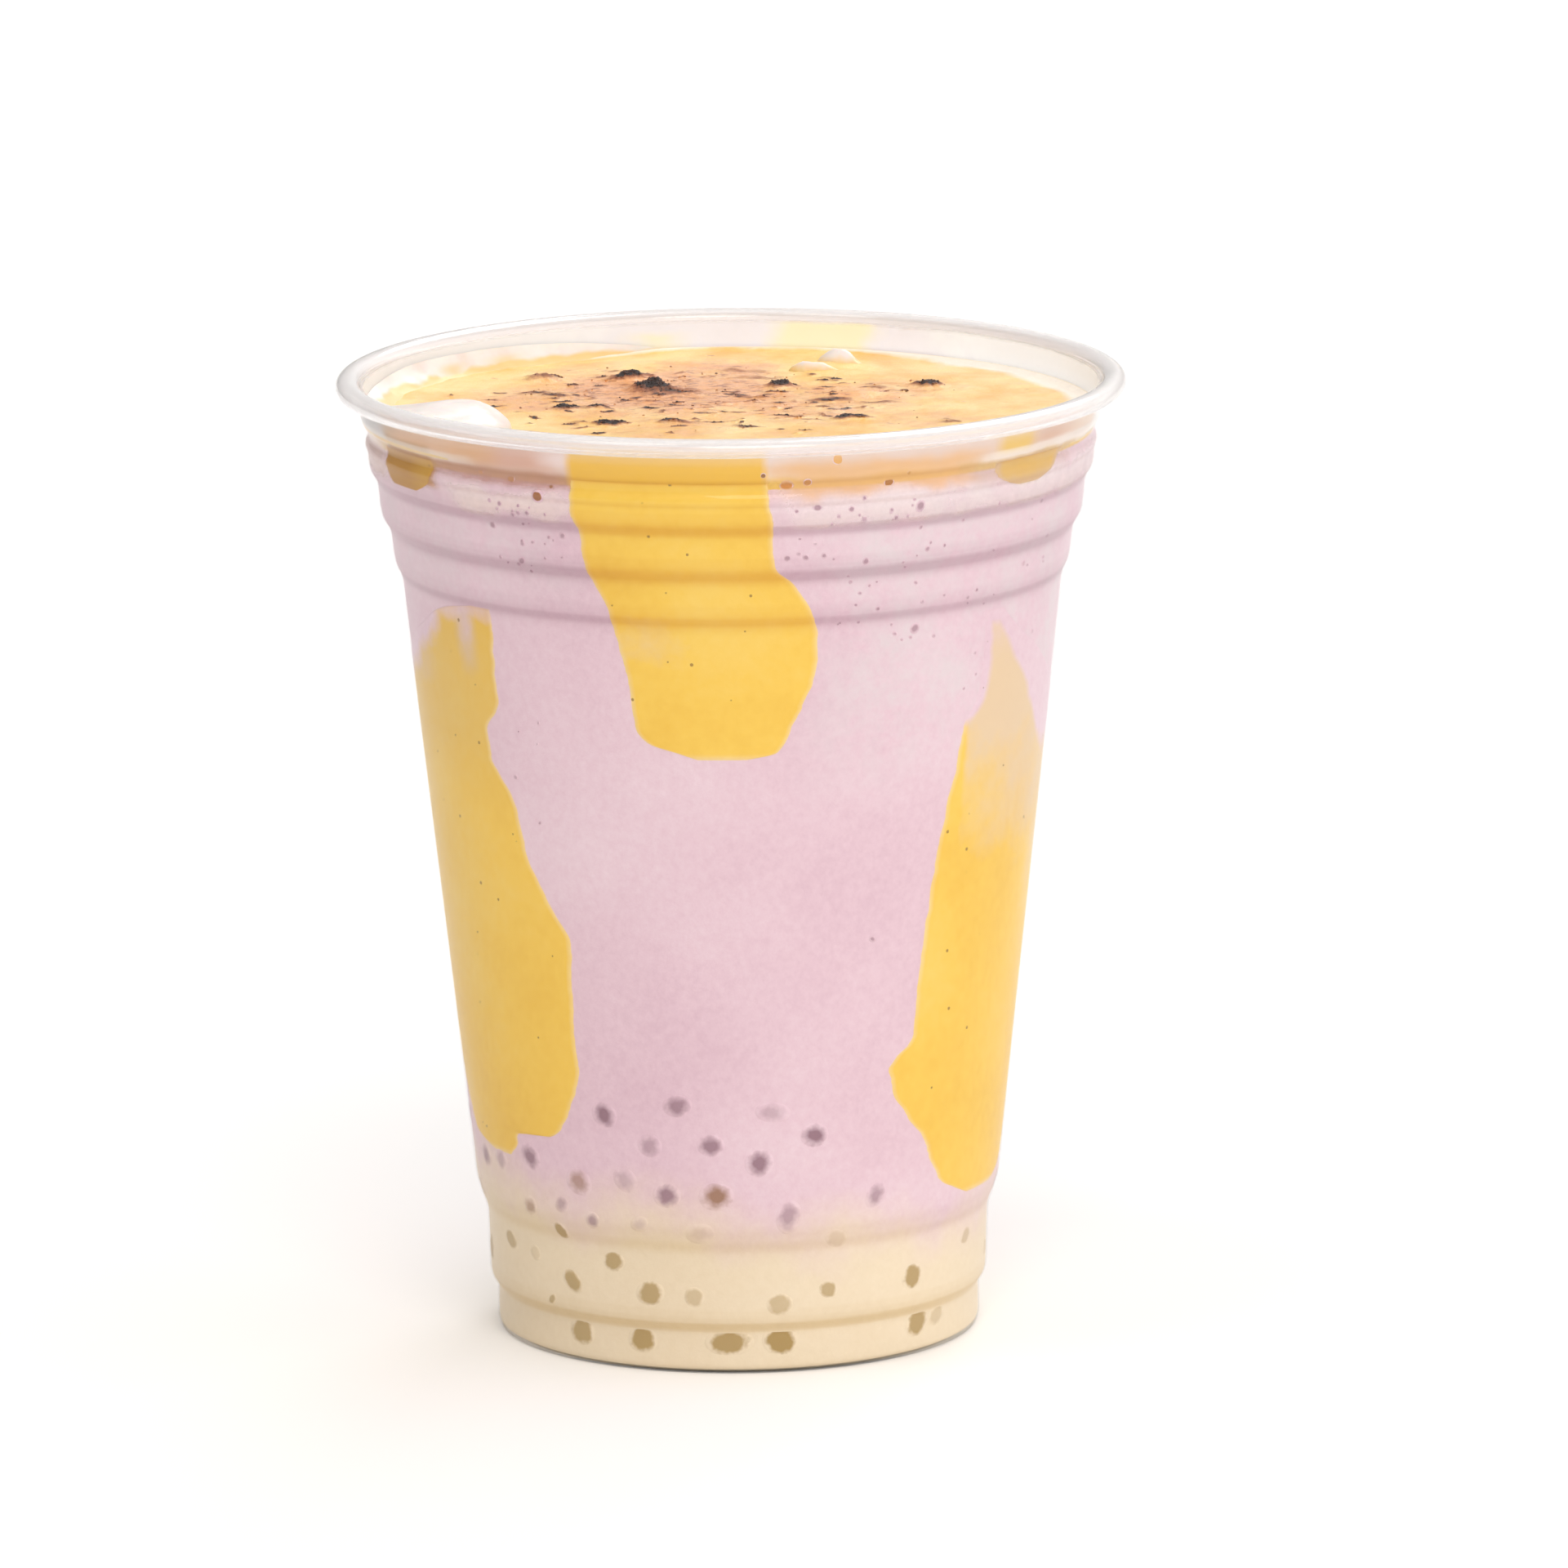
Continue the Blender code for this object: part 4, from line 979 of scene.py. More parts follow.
def makeCreamBand(node, stations, seed, count, slumped):
    s = creamShape
    inner = smoothCurve([(a, i) for a, i, c, h in stations])
    crest = smoothCurve([(a, c) for a, i, c, h in stations])
    peak = smoothCurve([(a, h) for a, i, c, h in stations])
    angles = np.linspace(stations[0][0], stations[-1][0], count)
    rows = []
    arc, base = s["arc"], s["base"]
    for angle in angles:
        low, mid, top = float(inner(angle)), float(crest(angle)), float(peak(angle))
        wall = float(wallAt(min(top, 118.0))) - s["gap"]
        ring = [(wall, base), (wall, base + 0.4 * (top - base)), (wall, base + 0.75 * (top - base))]
        # the mound's ends flatten, as the cream on the wall does
        grow, sink = s["full"]
        full = 0.0 if slumped else float(softStep(*grow, angle) * (1 - softStep(*sink, angle)))
        for step in range(arc):
            t = step / (arc - 1)
            # smeared up the wall, hollow like a fillet, with its toe in the custard
            smear = (wall + (low - 0.2 - wall) * t, base + (top - base) * (1 - t) ** 1.7)
            if t < s["crest"]:  # a soft crest
                u = t / s["crest"]
                heap = (wall + (mid - wall) * u, top - (top - base) * 0.12 * (1 - u) ** 2)
            else:  # steeper at the toe
                u = (t - s["crest"]) / (1 - s["crest"])
                fall = math.cos(u * math.pi / 2) ** 1.15
                heap = (mid + (low - mid) * math.sin(u * math.pi / 2), base + (top - base) * fall)
            ring.append(tuple(a + (b - a) * full for a, b in zip(smear, heap)))
        rows.append(around(angle, np.array([p[0] for p in ring]), np.array([p[1] for p in ring])))
    points = np.concatenate(rows)
    ringCount = len(rows[0])
    uneven = wobble(points, 7, seed, 4)
    height = (points[:, 2] - base) / 3
    reach = np.hypot(points[:, 0], points[:, 1])
    free = softStep(0.2, 2.0, wallAt(points[:, 2]) - reach)
    points[:, 2] += s["uneven"] * uneven * height * free
    shift = 1 - s["shift"] * wobble(points, 9, seed + 2, 3) * free
    points[:, 0] *= shift
    points[:, 1] *= shift
    faces = loftFaces(len(rows), ringCount, True)
    faces.append(tuple(range(ringCount)))
    faces.append(tuple(range((len(rows) - 1) * ringCount, len(rows) * ringCount)))
    above = points[:, 2] - base
    stain = 1 - softStep(*s["stainTop"][slumped], above + 0.5 * wobble(points, 5, seed + 4))
    for spot in s["spots"]:
        near = np.exp(-((angleOf(points) - spot) / 3.2) ** 2)
        stain = np.maximum(stain, 0.7 * near * (1 - softStep(1.2, 2.2, above)))
    piece = meshPiece(node.replace("cream_", "whipped_"), points, faces, finishes["cream"],
                      {"stain": stain * s["stain"]})
    attach(piece, node)


dollopLevel = 115.6  # height of a dollop's middle
creamDollops = {
    # (x, y, half length, half width, half height, turn)
    "cream_dollop_back": (14.0, 33.5, 3.6, 2.1, 1.5, -35),
    "cream_dollop_front": (11.0, 28.4, 3.9, 1.3, 0.9, -14),
}


def makeDollop(node, size, seed):
    cx, cy, halfX, halfY, halfZ, turn = size
    rings, columns = 34, 28
    points = [np.array([[-1.0, 0, 0]])]
    for k in range(1, rings):
        along = -math.cos(math.pi * k / rings)
        girth = (1 - along * along) ** 0.6 * (1 - 0.45 * along)
        turnRound = np.arange(columns) * 2 * math.pi / columns
        ridge = np.sin(turnRound)
        ridge = np.where(ridge > 0, np.abs(ridge) ** 2.2, ridge)  # the top is drawn up into a soft edge
        points.append(np.stack([np.full(columns, along), girth * np.cos(turnRound), girth * ridge], axis=-1))
    points.append(np.array([[1.0, 0, 0]]))
    points = np.concatenate(points) * np.array([halfX, halfY, halfZ])
    points[:, 2] += 0.25 * halfZ * np.cos(points[:, 0] / halfX * 2.2)  # a lazy curl
    points += 0.3 * np.stack([wobble(points, 2.6, seed + k, 4) for k in range(3)], axis=-1)
    cosine, sine = math.cos(math.radians(turn)), math.sin(math.radians(turn))
    turned = np.stack([cx + points[:, 0] * cosine - points[:, 1] * sine,
                       cy + points[:, 0] * sine + points[:, 1] * cosine,
                       dollopLevel + points[:, 2]], axis=-1)
    faces = loftFaces(rings + 1, columns, True, True, True)
    stain = 0.95 * (1 - softStep(115.7, 117.0, turned[:, 2] + 0.5 * wobble(points, 2.2, seed + 5)))
    piece = meshPiece(node.replace("cream_", "whipped_"), turned, faces, finishes["cream"], {"stain": stain})
    attach(piece, node)


makeCreamBand("cream_wall", creamBands["cream_wall"], 11, 170, True)
makeCreamBand("cream_mound", creamBands["cream_mound"], 21, 120, False)
for seed, (node, size) in enumerate(creamDollops.items()):
    makeDollop(node, size, 31 + 7 * seed)
print("cream spooned")

filmBand = {
    "heights": (108.0, 119.3), "face": 0.18, "back": 0.58, "segments": 480, "rows": 44,
    "fadeLow": (108.0, 109.0), "fadeHigh": (118.9, 119.3),
    "sheerHeights": (115.4, 116.4), "sheerSides": (60, 72),  # where light comes through from behind
    # (angles, heights, blur, colour, cover), later ones lie over earlier ones
    "patches": [
        ((-200, 200), (115.0, 118.6), (1, 0.7), "#F8EBE9", 0.8),
        ((-200, -72), (114.0, 119.6), (8, 0.5), "#F7F4FA", 1.0),
        ((-200, -158), (114.0, 119.6), (8, 0.5), "#E3DBE4", 0.97),
        ((136, 200), (115.0, 119.5), (8, 0.5), "#E3DBE4", 0.97),
        ((62, 142), (114.6, 119.6), (8, 0.5), "#FFFFFF", 1.0),
        ((6, 64), (115.6, 118.4), (6, 0.6), "#E2C6B4", 0.88),
        ((6, 42), (112.6, 116.8), (6, 1.0), "#EAB678", 0.82),
        ((8, 34), (108.9, 112.4), (5, 1.2), "#F2E4E0", 0.55),
        ((-50, -27), (109.6, 112.6), (5, 1.2), "#F3E2D6", 0.6),
        ((40, 64), (112.4, 115.2), (6, 1.2), "#CBAC98", 0.6),
        ((-54, -24), (113.4, 115.6), (4, 0.7), "#BF8F7C", 0.9),
        ((-46, -26), (115.4, 118.4), (5, 0.6), "#D8A993", 0.95),
        ((-54, -40), (115.4, 118.6), (4, 0.6), "#DEAD80", 0.9),
        ((-68, -53), (111.0, 118.6), (1.5, 0.5), "#BC884C", 0.95),
        ((-69, -48), (116.3, 118.9), (3, 0.5), "#E2B896", 0.85),
        ((-92, -69), (110.0, 118.8), (3, 0.8), "#E3CBC0", 0.7),
        ((-25.5, 5.5), (113.6, 118.4), (0.7, 0.5), "#EDB93A", 0.98),
        ((46, 54), (115.6, 117.9), (2, 0.5), "#E8BE58", 0.9),
        ((54, 76), (115.2, 118.2), (3, 0.6), "#D5AC92", 0.85),
        ((157, 173), (115.6, 119.2), (3, 0.4), "#FBE3A4", 0.97),
        ((-172, -164), (115.6, 118.0), (3, 0.6), "#FADFA4", 0.8),
        ((34, 100), (108.5, 112.5), (9, 1.4), "#F1E6E1", 0.45),
        ((-98, -45), (114.95, 116.05), (4, 0.22), "#F4E8DC", 0.55),
        ((44, 98), (114.95, 116.05), (4, 0.22), "#F8EEE4", 0.6),
    ],
}


def makeFilm():
    s = filmBand
    segments = s["segments"]
    angles = np.arange(segments) * 360 / segments - 180
    marks = np.linspace(s["heights"][0], s["heights"][1], s["rows"])
    skins = [np.concatenate([around(angles, wallAt(z) - s["face"], z) for z in marks]),
             np.concatenate([around(angles, wallAt(z) - s["back"], z) for z in marks[::-1]])]
    points = np.concatenate(skins)
    faces = loftFaces(2 * s["rows"], segments, True)
    last = (2 * s["rows"] - 1) * segments
    faces += [(last + c, last + (c + 1) % segments, (c + 1) % segments, c) for c in range(segments)]
    drift = wobble(points, 7, 41, 4)
    sideways = wobble(points, 5, 47, 3)
    colour = np.tile(np.array(linearColour("#FBEFEC")), (len(points), 1))
    cover = np.zeros(len(points))
    for span, heights, blur, tint, strength in s["patches"]:
        # crisp patches follow their outline, soft ones wander
        angle = angleOf(points) + 0.7 * blur[0] * sideways
        height = points[:, 2] + 0.9 * blur[1] * drift
        share = softPatch(angle, height, span, heights, blur) * strength
        under = (cover * (1 - share))[:, None]
        cover = 1 - (1 - cover) * (1 - share)
        colour = np.array(linearColour(tint)) * share[:, None] + colour * under
        colour = colour / np.maximum(cover, 1e-4)[:, None]
    height, side = points[:, 2], np.abs(angleOf(points))
    cover = cover * (1 - softStep(*s["fadeHigh"], height)) * softStep(*s["fadeLow"], height)
    sheer = softStep(*s["sheerHeights"], height) * softStep(*s["sheerSides"], side)
    # the last value is painted shade under the wall's outward steps
    piece = meshPiece("wall_film", points, faces, finishes["film"], {
        "tint": colour, "cover": cover, "sheer": sheer, "crease": stepShadeAt(points[:, 2])})
    attach(piece)


makeFilm()
print("film left on the wall")


def newTree(name, sockets):
    tree = bpy.data.node_groups.new(name, "GeometryNodeTree")
    tree.interface.new_socket("Geometry", in_out="OUTPUT", socket_type="NodeSocketGeometry")
    tree.interface.new_socket("Geometry", in_out="INPUT", socket_type="NodeSocketGeometry")
    for label, kind in sockets:
        tree.interface.new_socket(label, in_out="INPUT", socket_type=kind)
    return tree, addNode(tree, "NodeGroupInput")


def grow(carrier, tree, values, name):
    # runs the tree on the carrier and leaves one plain mesh
    modifier = carrier.modifiers.new(name, "NODES")
    modifier.node_group = tree
    labels = {item.name: item.identifier for item in tree.interface.items_tree if item.in_out == "INPUT"}
    for label, value in values.items():
        modifier[labels[label]] = value
    graph = bpy.context.evaluated_depsgraph_get()
    mesh = bpy.data.meshes.new_from_object(carrier.evaluated_get(graph))
    mesh.name = name
    bpy.data.objects.remove(carrier)
    piece = bpy.data.objects.new(name, mesh)
    bpy.context.scene.collection.objects.link(piece)
    return piece


def beadTree():
    tree, given = newTree("BeadsOnTheWall", [
        ("Sides", "NodeSocketInt"), ("Rings", "NodeSocketInt"), ("Finish", "NodeSocketMaterial")])
    ball = addNode(tree, "GeometryNodeMeshUVSphere", {
        "Segments": given.outputs["Sides"], "Rings": given.outputs["Rings"], "Radius": 1.0})
    parts = addNode(tree, "ShaderNodeSeparateXYZ", {0: addNode(tree, "GeometryNodeInputPosition")})
    flat = addNode(tree, "ShaderNodeCombineXYZ", {"X": parts.outputs["X"], "Y": parts.outputs["Y"]})
    rho = addNode(tree, "ShaderNodeVectorMath", {0: flat}, operation="LENGTH").outputs["Value"]
    marked = addNode(tree, "GeometryNodeStoreNamedAttribute", {
        "Geometry": ball.outputs["Mesh"], "Name": "fade", "Value": rho}, data_type="FLOAT", domain="POINT")
    # the side on the wall is pressed nearly flat: height = (1 - rho^5)^(1/4)
    powered = addNode(tree, "ShaderNodeMath", {0: rho, 1: 5.0}, operation="POWER")
    rest = addNode(tree, "ShaderNodeMath", {0: 1.0, 1: powered}, operation="SUBTRACT", use_clamp=True)
    tall = addNode(tree, "ShaderNodeMath", {0: rest, 1: 0.25}, operation="POWER")
    sign = addNode(tree, "ShaderNodeMath", {0: parts.outputs["Z"]}, operation="SIGN")
    height = addNode(tree, "ShaderNodeMath", {0: tall, 1: sign}, operation="MULTIPLY")
    pressed = addNode(tree, "ShaderNodeCombineXYZ", {
        "X": parts.outputs["X"], "Y": parts.outputs["Y"], "Z": height})
    shaped = addNode(tree, "GeometryNodeSetPosition", {"Geometry": marked, "Position": pressed})
    facing = addNode(tree, "GeometryNodeInputNamedAttribute", {"Name": "facing"},
                     data_type="FLOAT_VECTOR").outputs["Attribute"]
    sizes = addNode(tree, "GeometryNodeInputNamedAttribute", {"Name": "sizes"},
                    data_type="FLOAT_VECTOR").outputs["Attribute"]
    aligned = addNode(tree, "FunctionNodeAlignRotationToVector", {"Vector": facing}, axis="Z",
                      pivot_axis="AUTO")
    placed = addNode(tree, "GeometryNodeInstanceOnPoints", {
        "Points": given.outputs["Geometry"], "Instance": shaped, "Rotation": aligned, "Scale": sizes})
    real = addNode(tree, "GeometryNodeRealizeInstances", {"Geometry": placed})
    smooth = addNode(tree, "GeometryNodeSetShadeSmooth", {"Geometry": real})
    dressed = addNode(tree, "GeometryNodeSetMaterial", {"Geometry": smooth,
                                                        "Material": given.outputs["Finish"]})
    addNode(tree, "NodeGroupOutput", {0: dressed})
    return tree


sagoPearls = {
    # (angle, height, width, tallness, strength)
    "shown": [
        (-28.5, 33, 2.4, 2.6, 0.9), (-12.2, 34.8, 2.6, 2.2, 0.75), (-18.5, 29.5, 2.2, 2.4, 0.5),
        (-5.4, 29.8, 2.4, 2.2, 0.8), (7.6, 34, 3.0, 2.0, 0.35), (16.5, 30.8, 2.5, 2.4, 0.9),
        (4.8, 27.5, 2.5, 2.8, 0.85), (-50.2, 25.8, 2.4, 2.8, 0.8), (-70.6, 23.8, 2.3, 2.5, 0.7),
        (-62.2, 24.2, 2.2, 2.2, 0.4), (-36.2, 23.8, 2.6, 2.8, 0.65), (-24.5, 24.8, 2.2, 2.6, 0.35),
        (-15.2, 23.2, 2.5, 2.5, 0.8), (-4.4, 23.2, 3.0, 2.8, 0.9), (31.3, 22.2, 1.9, 2.6, 0.6),
        (11.2, 20.5, 2.2, 3.0, 0.55), (-52, 19.2, 2.1, 1.8, 0.6), (-41.6, 20.5, 1.8, 1.6, 0.5),
        (-33.4, 19, 1.6, 1.6, 0.6), (-43.2, 16.8, 1.8, 2.4, 0.75), (-64.7, 13.5, 2.0, 3.2, 0.6),
        (-21.8, 19.2, 1.8, 1.4, 0.25), (-8.1, 18.2, 2.6, 2.0, 0.2), (-53.6, 13, 1.8, 2.0, 0.2),
        (-29.4, 13.8, 2.6, 2.5, 0.75), (-41.3, 10.5, 2.2, 3.2, 0.75), (-20.4, 10.2, 3.2, 2.8, 0.75),
        (-10, 10, 2.2, 2.4, 0.4), (9.6, 9, 2.8, 2.6, 0.5), (21, 10.5, 2.2, 2.0, 0.65),
        (44, 10.5, 2.8, 3.0, 0.8), (22.5, 17, 2.6, 2.2, 0.2), (-40.1, 4.0, 3.2, 3.4, 0.75),
        (-23.2, 4.0, 3.3, 3.2, 0.85), (-2.1, 4.1, 4.8, 3.0, 0.85), (10, 4.2, 3.8, 3.4, 0.95),
        (47.5, 4.2, 3.2, 3.6, 0.8), (55, 4.4, 2.2, 3.0, 0.35), (65.2, 13.5, 1.8, 2.4, 0.4),
        (-48, 7.6, 1.6, 1.0, 0.6)],
    # as many again over the back, by a seeded draw
    "unseen": 52, "seed": 7, "unseenAngles": (78, 282), "unseenHeights": [4.1, 10.4, 13.6, 19, 23.5, 28, 33],
    "apart": 3.6, "footRow": 4.1,  # mm between pearls, and the height of the row in the foot
    "milkTop": 18, "brownTop": 24.5, "coreInMilk": 0.5, "coreInTaro": 0.28, "shownShare": 0.92,
    "depth": 1.3, "face": 0.13,
    "inMilk": "#B0935C", "inTaro": "#977580", "inTaroBrown": "#A37C66",
}


def beadPoints(spots, depth, face):
    # spots: (angle, height, width, tallness, colour, strength, core); the core is the share of the
    # radius that keeps its full colour, and the bead melts into the drink before beadEdge of it
    places, facing, sizes, tints, strengths, cores = [], [], [], [], [], []
    for angle, height, width, tallness, colour, strength, core in spots:
        grown = 2 / (core + beadEdge)
        width, tallness = width * grown, tallness * grown
        cores.append(core)
        slope = float(wallAt(height + 0.4) - wallAt(height - 0.4)) / 0.8
        out = around(angle, 1.0, -slope)
        out = out / np.linalg.norm(out)
        places.append(around(angle, float(wallAt(height)), height) - out * (face + depth))
        facing.append(out)
        sizes.append((width / 2 * mm, tallness / 2 * mm, depth * mm))
        tints.append(linearColour(colour))
        strengths.append(strength)
    return places, {"facing": np.array(facing), "sizes": np.array(sizes), "tint": np.array(tints),
                    "strength": np.array(strengths), "core": np.array(cores)}


def makeBeads(name, spots, depth, face, finish, sides, rings):
    places, values = beadPoints(spots, depth, face)
    carrier = meshPiece(name + "_places", places, [], None, values, solid=False)
    piece = grow(carrier, wallBeads, {"Sides": sides, "Rings": rings, "Finish": finish}, name)
    heights = np.zeros(3 * len(piece.data.vertices), np.float32)
    piece.data.vertices.foreach_get("co", heights)
    # painted shade under the wall's outward steps, as on the drink round each bead
    crease = stepShadeAt(heights[2::3] / mm).astype(np.float32)
    piece.data.attributes.new("crease", "FLOAT", "POINT").data.foreach_set("value", crease)
    attach(piece)


def pearlSpots():
    s = sagoPearls
    rng = np.random.default_rng(s["seed"])
    listed = list(s["shown"])
    while len(listed) < len(s["shown"]) + s["unseen"]:
        angle = float(rng.uniform(*s["unseenAngles"]))
        height = float(rng.choice(s["unseenHeights"])) + float(rng.uniform(-0.8, 0.8))
        if height < 6:
            height = s["footRow"]
        near = any(abs(a % 360 - angle) * 0.55 < s["apart"] and abs(h - height) < s["apart"]
                   for a, h, *rest in listed)
        if not near and not onCustard(angle, height, 4):
            width = float(rng.uniform(2.0, 3.3))
            listed.append((angle, height, width, width * float(rng.uniform(0.8, 1.2)),
                           float(rng.uniform(0.35, 0.9))))
    spots = []
    for k, (angle, height, width, tallness, strength) in enumerate(listed):
        inMilk = height < s["milkTop"]
        colour = s["inMilk"] if inMilk else s["inTaro"]
        if s["milkTop"] <= height < s["brownTop"] and k % 3 == 1:
            colour = s["inTaroBrown"]
        core = s["coreInMilk"] if inMilk else s["coreInTaro"]
        spots.append((angle, height, width * s["shownShare"], tallness * s["shownShare"], colour,
                      min(1, strength * 1.1), core))
    return spots


wallBeads = beadTree()
makeBeads("sago_pearls", pearlSpots(), sagoPearls["depth"], sagoPearls["face"], finishes["sago"],
          18, 10)

smallMarks = {
    # drops of torched custard and brown crumbs on the wall (angle, height, width, tallness, colour)
    "drops": [
        (8.7, 114.2, 1.5, 1.3, "#D68E44"), (11.9, 114.5, 1.0, 0.9, "#D3954E"),
        (25.3, 113.8, 1.2, 1.2, "#B67A40"), (16.4, 117.3, 1.1, 1.1, "#E4A64A"),
        (-31.2, 112, 1.3, 1.2, "#A87048"), (-36.3, 113.8, 1.1, 0.9, "#C08A62"),
        (-42.2, 114.2, 0.9, 0.7, "#C49068"), (28.5, 114.8, 0.5, 0.5, "#D9A45A"),
        (-29, 113.4, 0.5, 0.4, "#A87858"), (5.0, 115.6, 0.6, 0.6, "#9A6A38")],
    # trapped air, darker than the drink round it
    "bubbles": [
        (30.8, 110.5, 0.9, 1.1), (-41.3, 107.5, 0.7, 0.7), (-27.8, 107.2, 0.6, 0.6),
        (22.1, 104, 0.6, 0.6), (33.1, 94.5, 0.9, 1.0), (9, 105, 0.6, 0.5), (12, 105, 0.6, 0.5),
        (15, 105.1, 0.5, 0.5), (19, 110.9, 0.6, 0.6), (13.5, 111.3, 0.9, 0.8), (21, 112.2, 0.4, 0.4),
        (-36, 103.4, 0.8, 0.6), (-33.5, 109.8, 0.4, 0.4), (27.5, 55.4, 0.7, 0.5), (45.5, 98.3, 0.4, 0.4)],
    "groups": [  # (angles, heights, how many)
        ((-42, -27), (102, 111), 26), ((8, 34), (93, 112), 44), ((34, 66), (84, 110), 30),
        ((-46, -36), (55, 90), 8), ((100, 178), (80, 112), 46), ((-178, -100), (84, 112), 40)],
    "seed": 19, "bubble": "#B08E98", "bubbleCore": 0.4, "dropCore": 0.68,
    "depth": 0.3, "bubbleFace": 0.15, "dropFace": 0.14,
}


def bubbleSpots():
    rng = np.random.default_rng(smallMarks["seed"])
    core = smallMarks["bubbleCore"]
    spots = [(a, h, w, t, smallMarks["bubble"], 0.9, core) for a, h, w, t in smallMarks["bubbles"]]
    for angles, heights, count in smallMarks["groups"]:
        for _ in range(count):
            width = float(rng.uniform(0.22, 0.5))
            spots.append((float(rng.uniform(*angles)), float(rng.uniform(*heights)), width,
                          width * float(rng.uniform(0.7, 1.2)), smallMarks["bubble"],
                          float(rng.uniform(0.4, 0.9)), core))
    return [spot for spot in spots if not onCustard(spot[0], spot[1], 0.5)]


makeBeads("air_bubbles", bubbleSpots(), smallMarks["depth"], smallMarks["bubbleFace"],
          finishes["bubble"], 10, 6)
dropSpots = [(a, h, w, t, colour, 1.0, smallMarks["dropCore"]) for a, h, w, t, colour in smallMarks["drops"]]
makeBeads("custard_drops", dropSpots, smallMarks["depth"], smallMarks["dropFace"],
          finishes["drop"], 14, 8)
print("pearls, bubbles and drops set in the wall")


def crumbTree():
    tree, given = newTree("BurntCrumbs", [
        ("Per Square Metre", "NodeSocketFloat"), ("Smallest", "NodeSocketFloat"),
        ("Largest", "NodeSocketFloat"), ("Seed", "NodeSocketInt"), ("Finish", "NodeSocketMaterial")])
    burnt = addNode(tree, "GeometryNodeInputNamedAttribute", {"Name": "crumbs"},
                    data_type="FLOAT").outputs["Attribute"]
    thick = addNode(tree, "ShaderNodeMath", {0: burnt, 1: given.outputs["Per Square Metre"]},
                    operation="MULTIPLY")
    spread = addNode(tree, "GeometryNodeDistributePointsOnFaces", {
        "Mesh": given.outputs["Geometry"], "Density": thick, "Seed": given.outputs["Seed"]})
    flake = addNode(tree, "GeometryNodeMeshIcoSphere", {"Radius": 1.0, "Subdivisions": 1})
    size = addNode(tree, "FunctionNodeRandomValue", {
        "Min": given.outputs["Smallest"], "Max": given.outputs["Largest"], "Seed": 3}, data_type="FLOAT")
    uneven = addNode(tree, "FunctionNodeRandomValue", {
        0: (0.7, 0.5, 0.35), 1: (1.8, 1.1, 0.8), "Seed": 4}, data_type="FLOAT_VECTOR")
    scale = addNode(tree, "ShaderNodeVectorMath", {0: uneven, "Scale": size}, operation="SCALE")
    turn = addNode(tree, "FunctionNodeRandomValue", {
        0: (-0.5, -0.5, 0.0), 1: (0.5, 0.5, 6.28), "Seed": 5}, data_type="FLOAT_VECTOR")
    placed = addNode(tree, "GeometryNodeInstanceOnPoints", {
        "Points": spread.outputs["Points"], "Instance": flake.outputs["Mesh"],
        "Rotation": turn, "Scale": scale})
    real = addNode(tree, "GeometryNodeRealizeInstances", {"Geometry": placed})
    dressed = addNode(tree, "GeometryNodeSetMaterial", {"Geometry": real,
                                                        "Material": given.outputs["Finish"]})
    addNode(tree, "NodeGroupOutput", {0: dressed})
    return tree


crumbs = {"perSquareMetre": 1.1e7, "smallest": 0.05, "largest": 0.2, "loose": 0.006, "seed": 13}


def makeCrumbs():
    mesh = torchedSkin.data.copy()
    carrier = bpy.data.objects.new("crumb_bed", mesh)
    bpy.context.scene.collection.objects.link(carrier)
    count = len(mesh.vertices)
    burnt = np.zeros(count, np.float32)
    mesh.attributes["burnt"].data.foreach_get("value", burnt)
    toast = np.zeros(count, np.float32)
    mesh.attributes["toast"].data.foreach_get("value", toast)
    thick = softStep(0.5, 1.0, burnt) + crumbs["loose"] * toast
    mesh.attributes.new("crumbs", "FLOAT", "POINT").data.foreach_set("value", thick.astype(np.float32))
    piece = grow(carrier, crumbTree(), {
        "Per Square Metre": crumbs["perSquareMetre"], "Smallest": crumbs["smallest"] * mm,
        "Largest": crumbs["largest"] * mm, "Seed": crumbs["seed"],
        "Finish": finishes["char"]}, "burnt_crumbs")
    print("crumbs:", len(piece.data.polygons), "faces")
    attach(piece)


makeCrumbs()


def paleFloor():
    # Matt white studio board, faintly uneven.
    material, tree = newMaterial("matt_white_board")
    place = addNode(tree, "ShaderNodeTexCoord").outputs["Object"]
    grain = addNode(tree, "ShaderNodeTexNoise", {"Vector": place, "Scale": 3, "Detail": 2})
    tone = addNode(tree, "ShaderNodeValToRGB", {0: grain})
    rampStops(tone, [(0.3, "#F4F3F3"), (0.7, "#F8F7F7")])
    board = addNode(tree, "ShaderNodeBsdfPrincipled", {
        "Base Color": tone, "Roughness": 0.9, "Specular IOR Level": 0.1})
    addNode(tree, "ShaderNodeOutputMaterial", {"Surface": board})
    return material


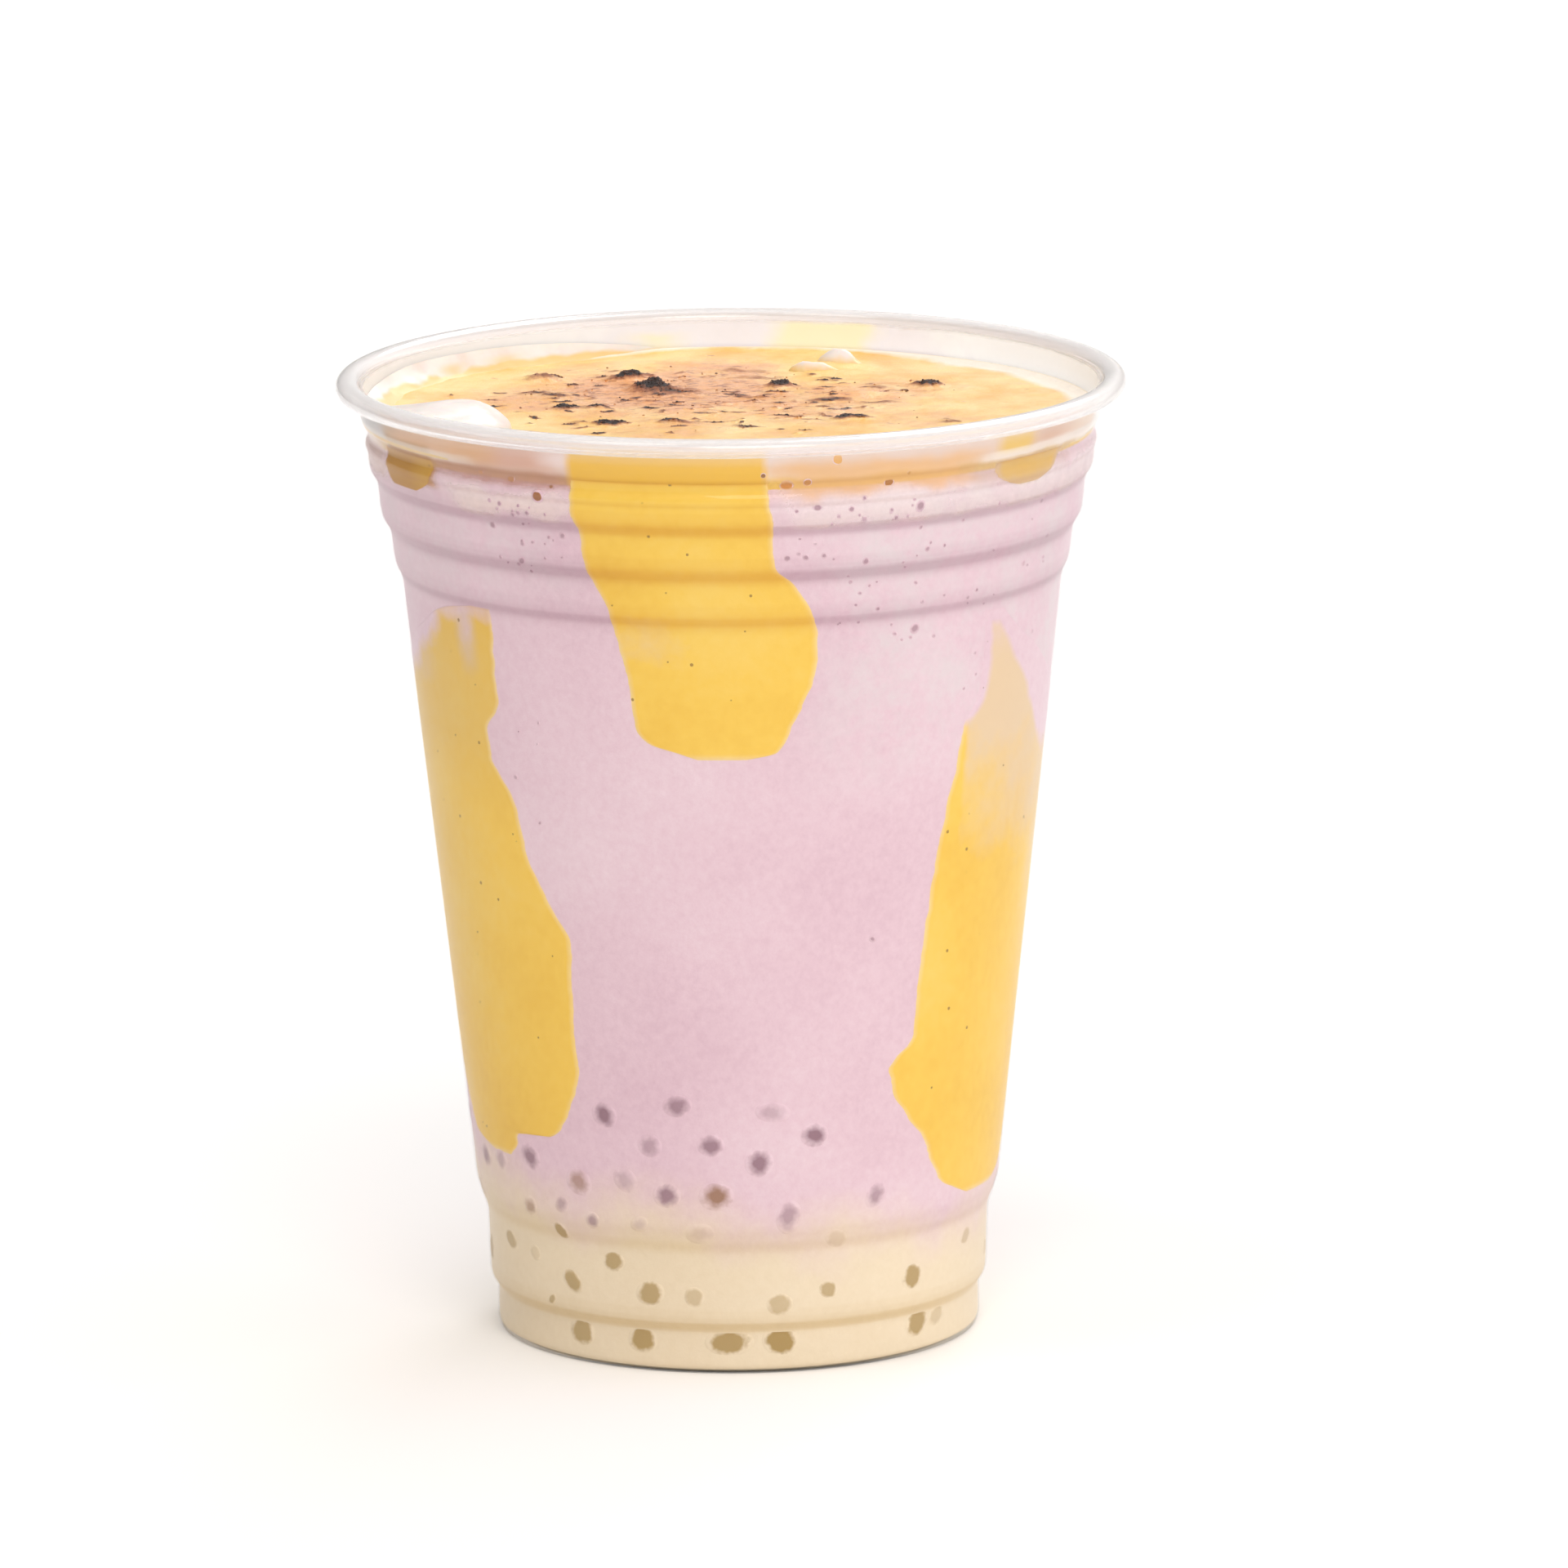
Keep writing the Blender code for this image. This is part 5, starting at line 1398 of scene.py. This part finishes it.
studio = {
    "floorSize": 9.0, "aim": (0, 0, 0.06),  # metres
    "zenith": 0.95, "horizon": 0.52, "lean": 0.47,  # the room is darker on the left
    # (name, place, size, watts, colour)
    "lamps": [
        ("KeySoftbox", (0.22, -1.5, 1.6), 1.1, 13.6, "#FFF9F2"),
        ("HighSoftbox", (-0.8, -0.5, 2.3), 0.9, 7.5, "#FFFAF4"),
        ("BackSoftbox", (0.5, 1.4, 1.2), 0.8, 6, "#FFFFFF"),
    ],
}


def makeStudio():
    half = studio["floorSize"] / 2
    mesh = bpy.data.meshes.new("floor")
    corners = [(-half, -half, 0), (half, -half, 0), (half, half, 0), (-half, half, 0)]
    mesh.from_pydata(corners, [], [(0, 1, 2, 3)])
    mesh.materials.append(paleFloor())
    floor = bpy.data.objects.new("floor", mesh)
    bpy.context.scene.collection.objects.link(floor)
    world = bpy.data.worlds.new("StudioRoom")
    world.use_nodes = True
    tree = world.node_tree
    tree.nodes.clear()
    towards = addNode(tree, "ShaderNodeTexCoord").outputs["Generated"]
    direction = addNode(tree, "ShaderNodeSeparateXYZ", {0: towards})
    share = addNode(tree, "ShaderNodeMapRange", {
        "Value": direction.outputs["Z"], "From Min": 0.0, "From Max": 0.8,
        "To Min": studio["horizon"], "To Max": studio["zenith"]})
    leaning = addNode(tree, "ShaderNodeMath", {0: direction.outputs["X"], 1: studio["lean"], 2: share},
                      operation="MULTIPLY_ADD")
    glow = addNode(tree, "ShaderNodeBackground", {"Color": "#FFFEFC", "Strength": leaning})
    addNode(tree, "ShaderNodeOutputWorld", {"Surface": glow})
    bpy.context.scene.world = world
    for name, place, size, watts, colour in studio["lamps"]:
        data = bpy.data.lights.new(name, "AREA")
        data.shape = "DISK"
        data.size = size
        data.energy = watts
        data.color = linearColour(colour)[:3]
        lamp = bpy.data.objects.new(name, data)
        bpy.context.scene.collection.objects.link(lamp)
        lamp.location = place
        towardsCup = Vector(studio["aim"]) - Vector(place)
        lamp.rotation_euler = towardsCup.to_track_quat("-Z", "Y").to_euler()
    scene = bpy.context.scene
    scene.view_settings.view_transform = "Standard"
    scene.cycles.use_denoising = True


makeStudio()
print("floor and lights set")
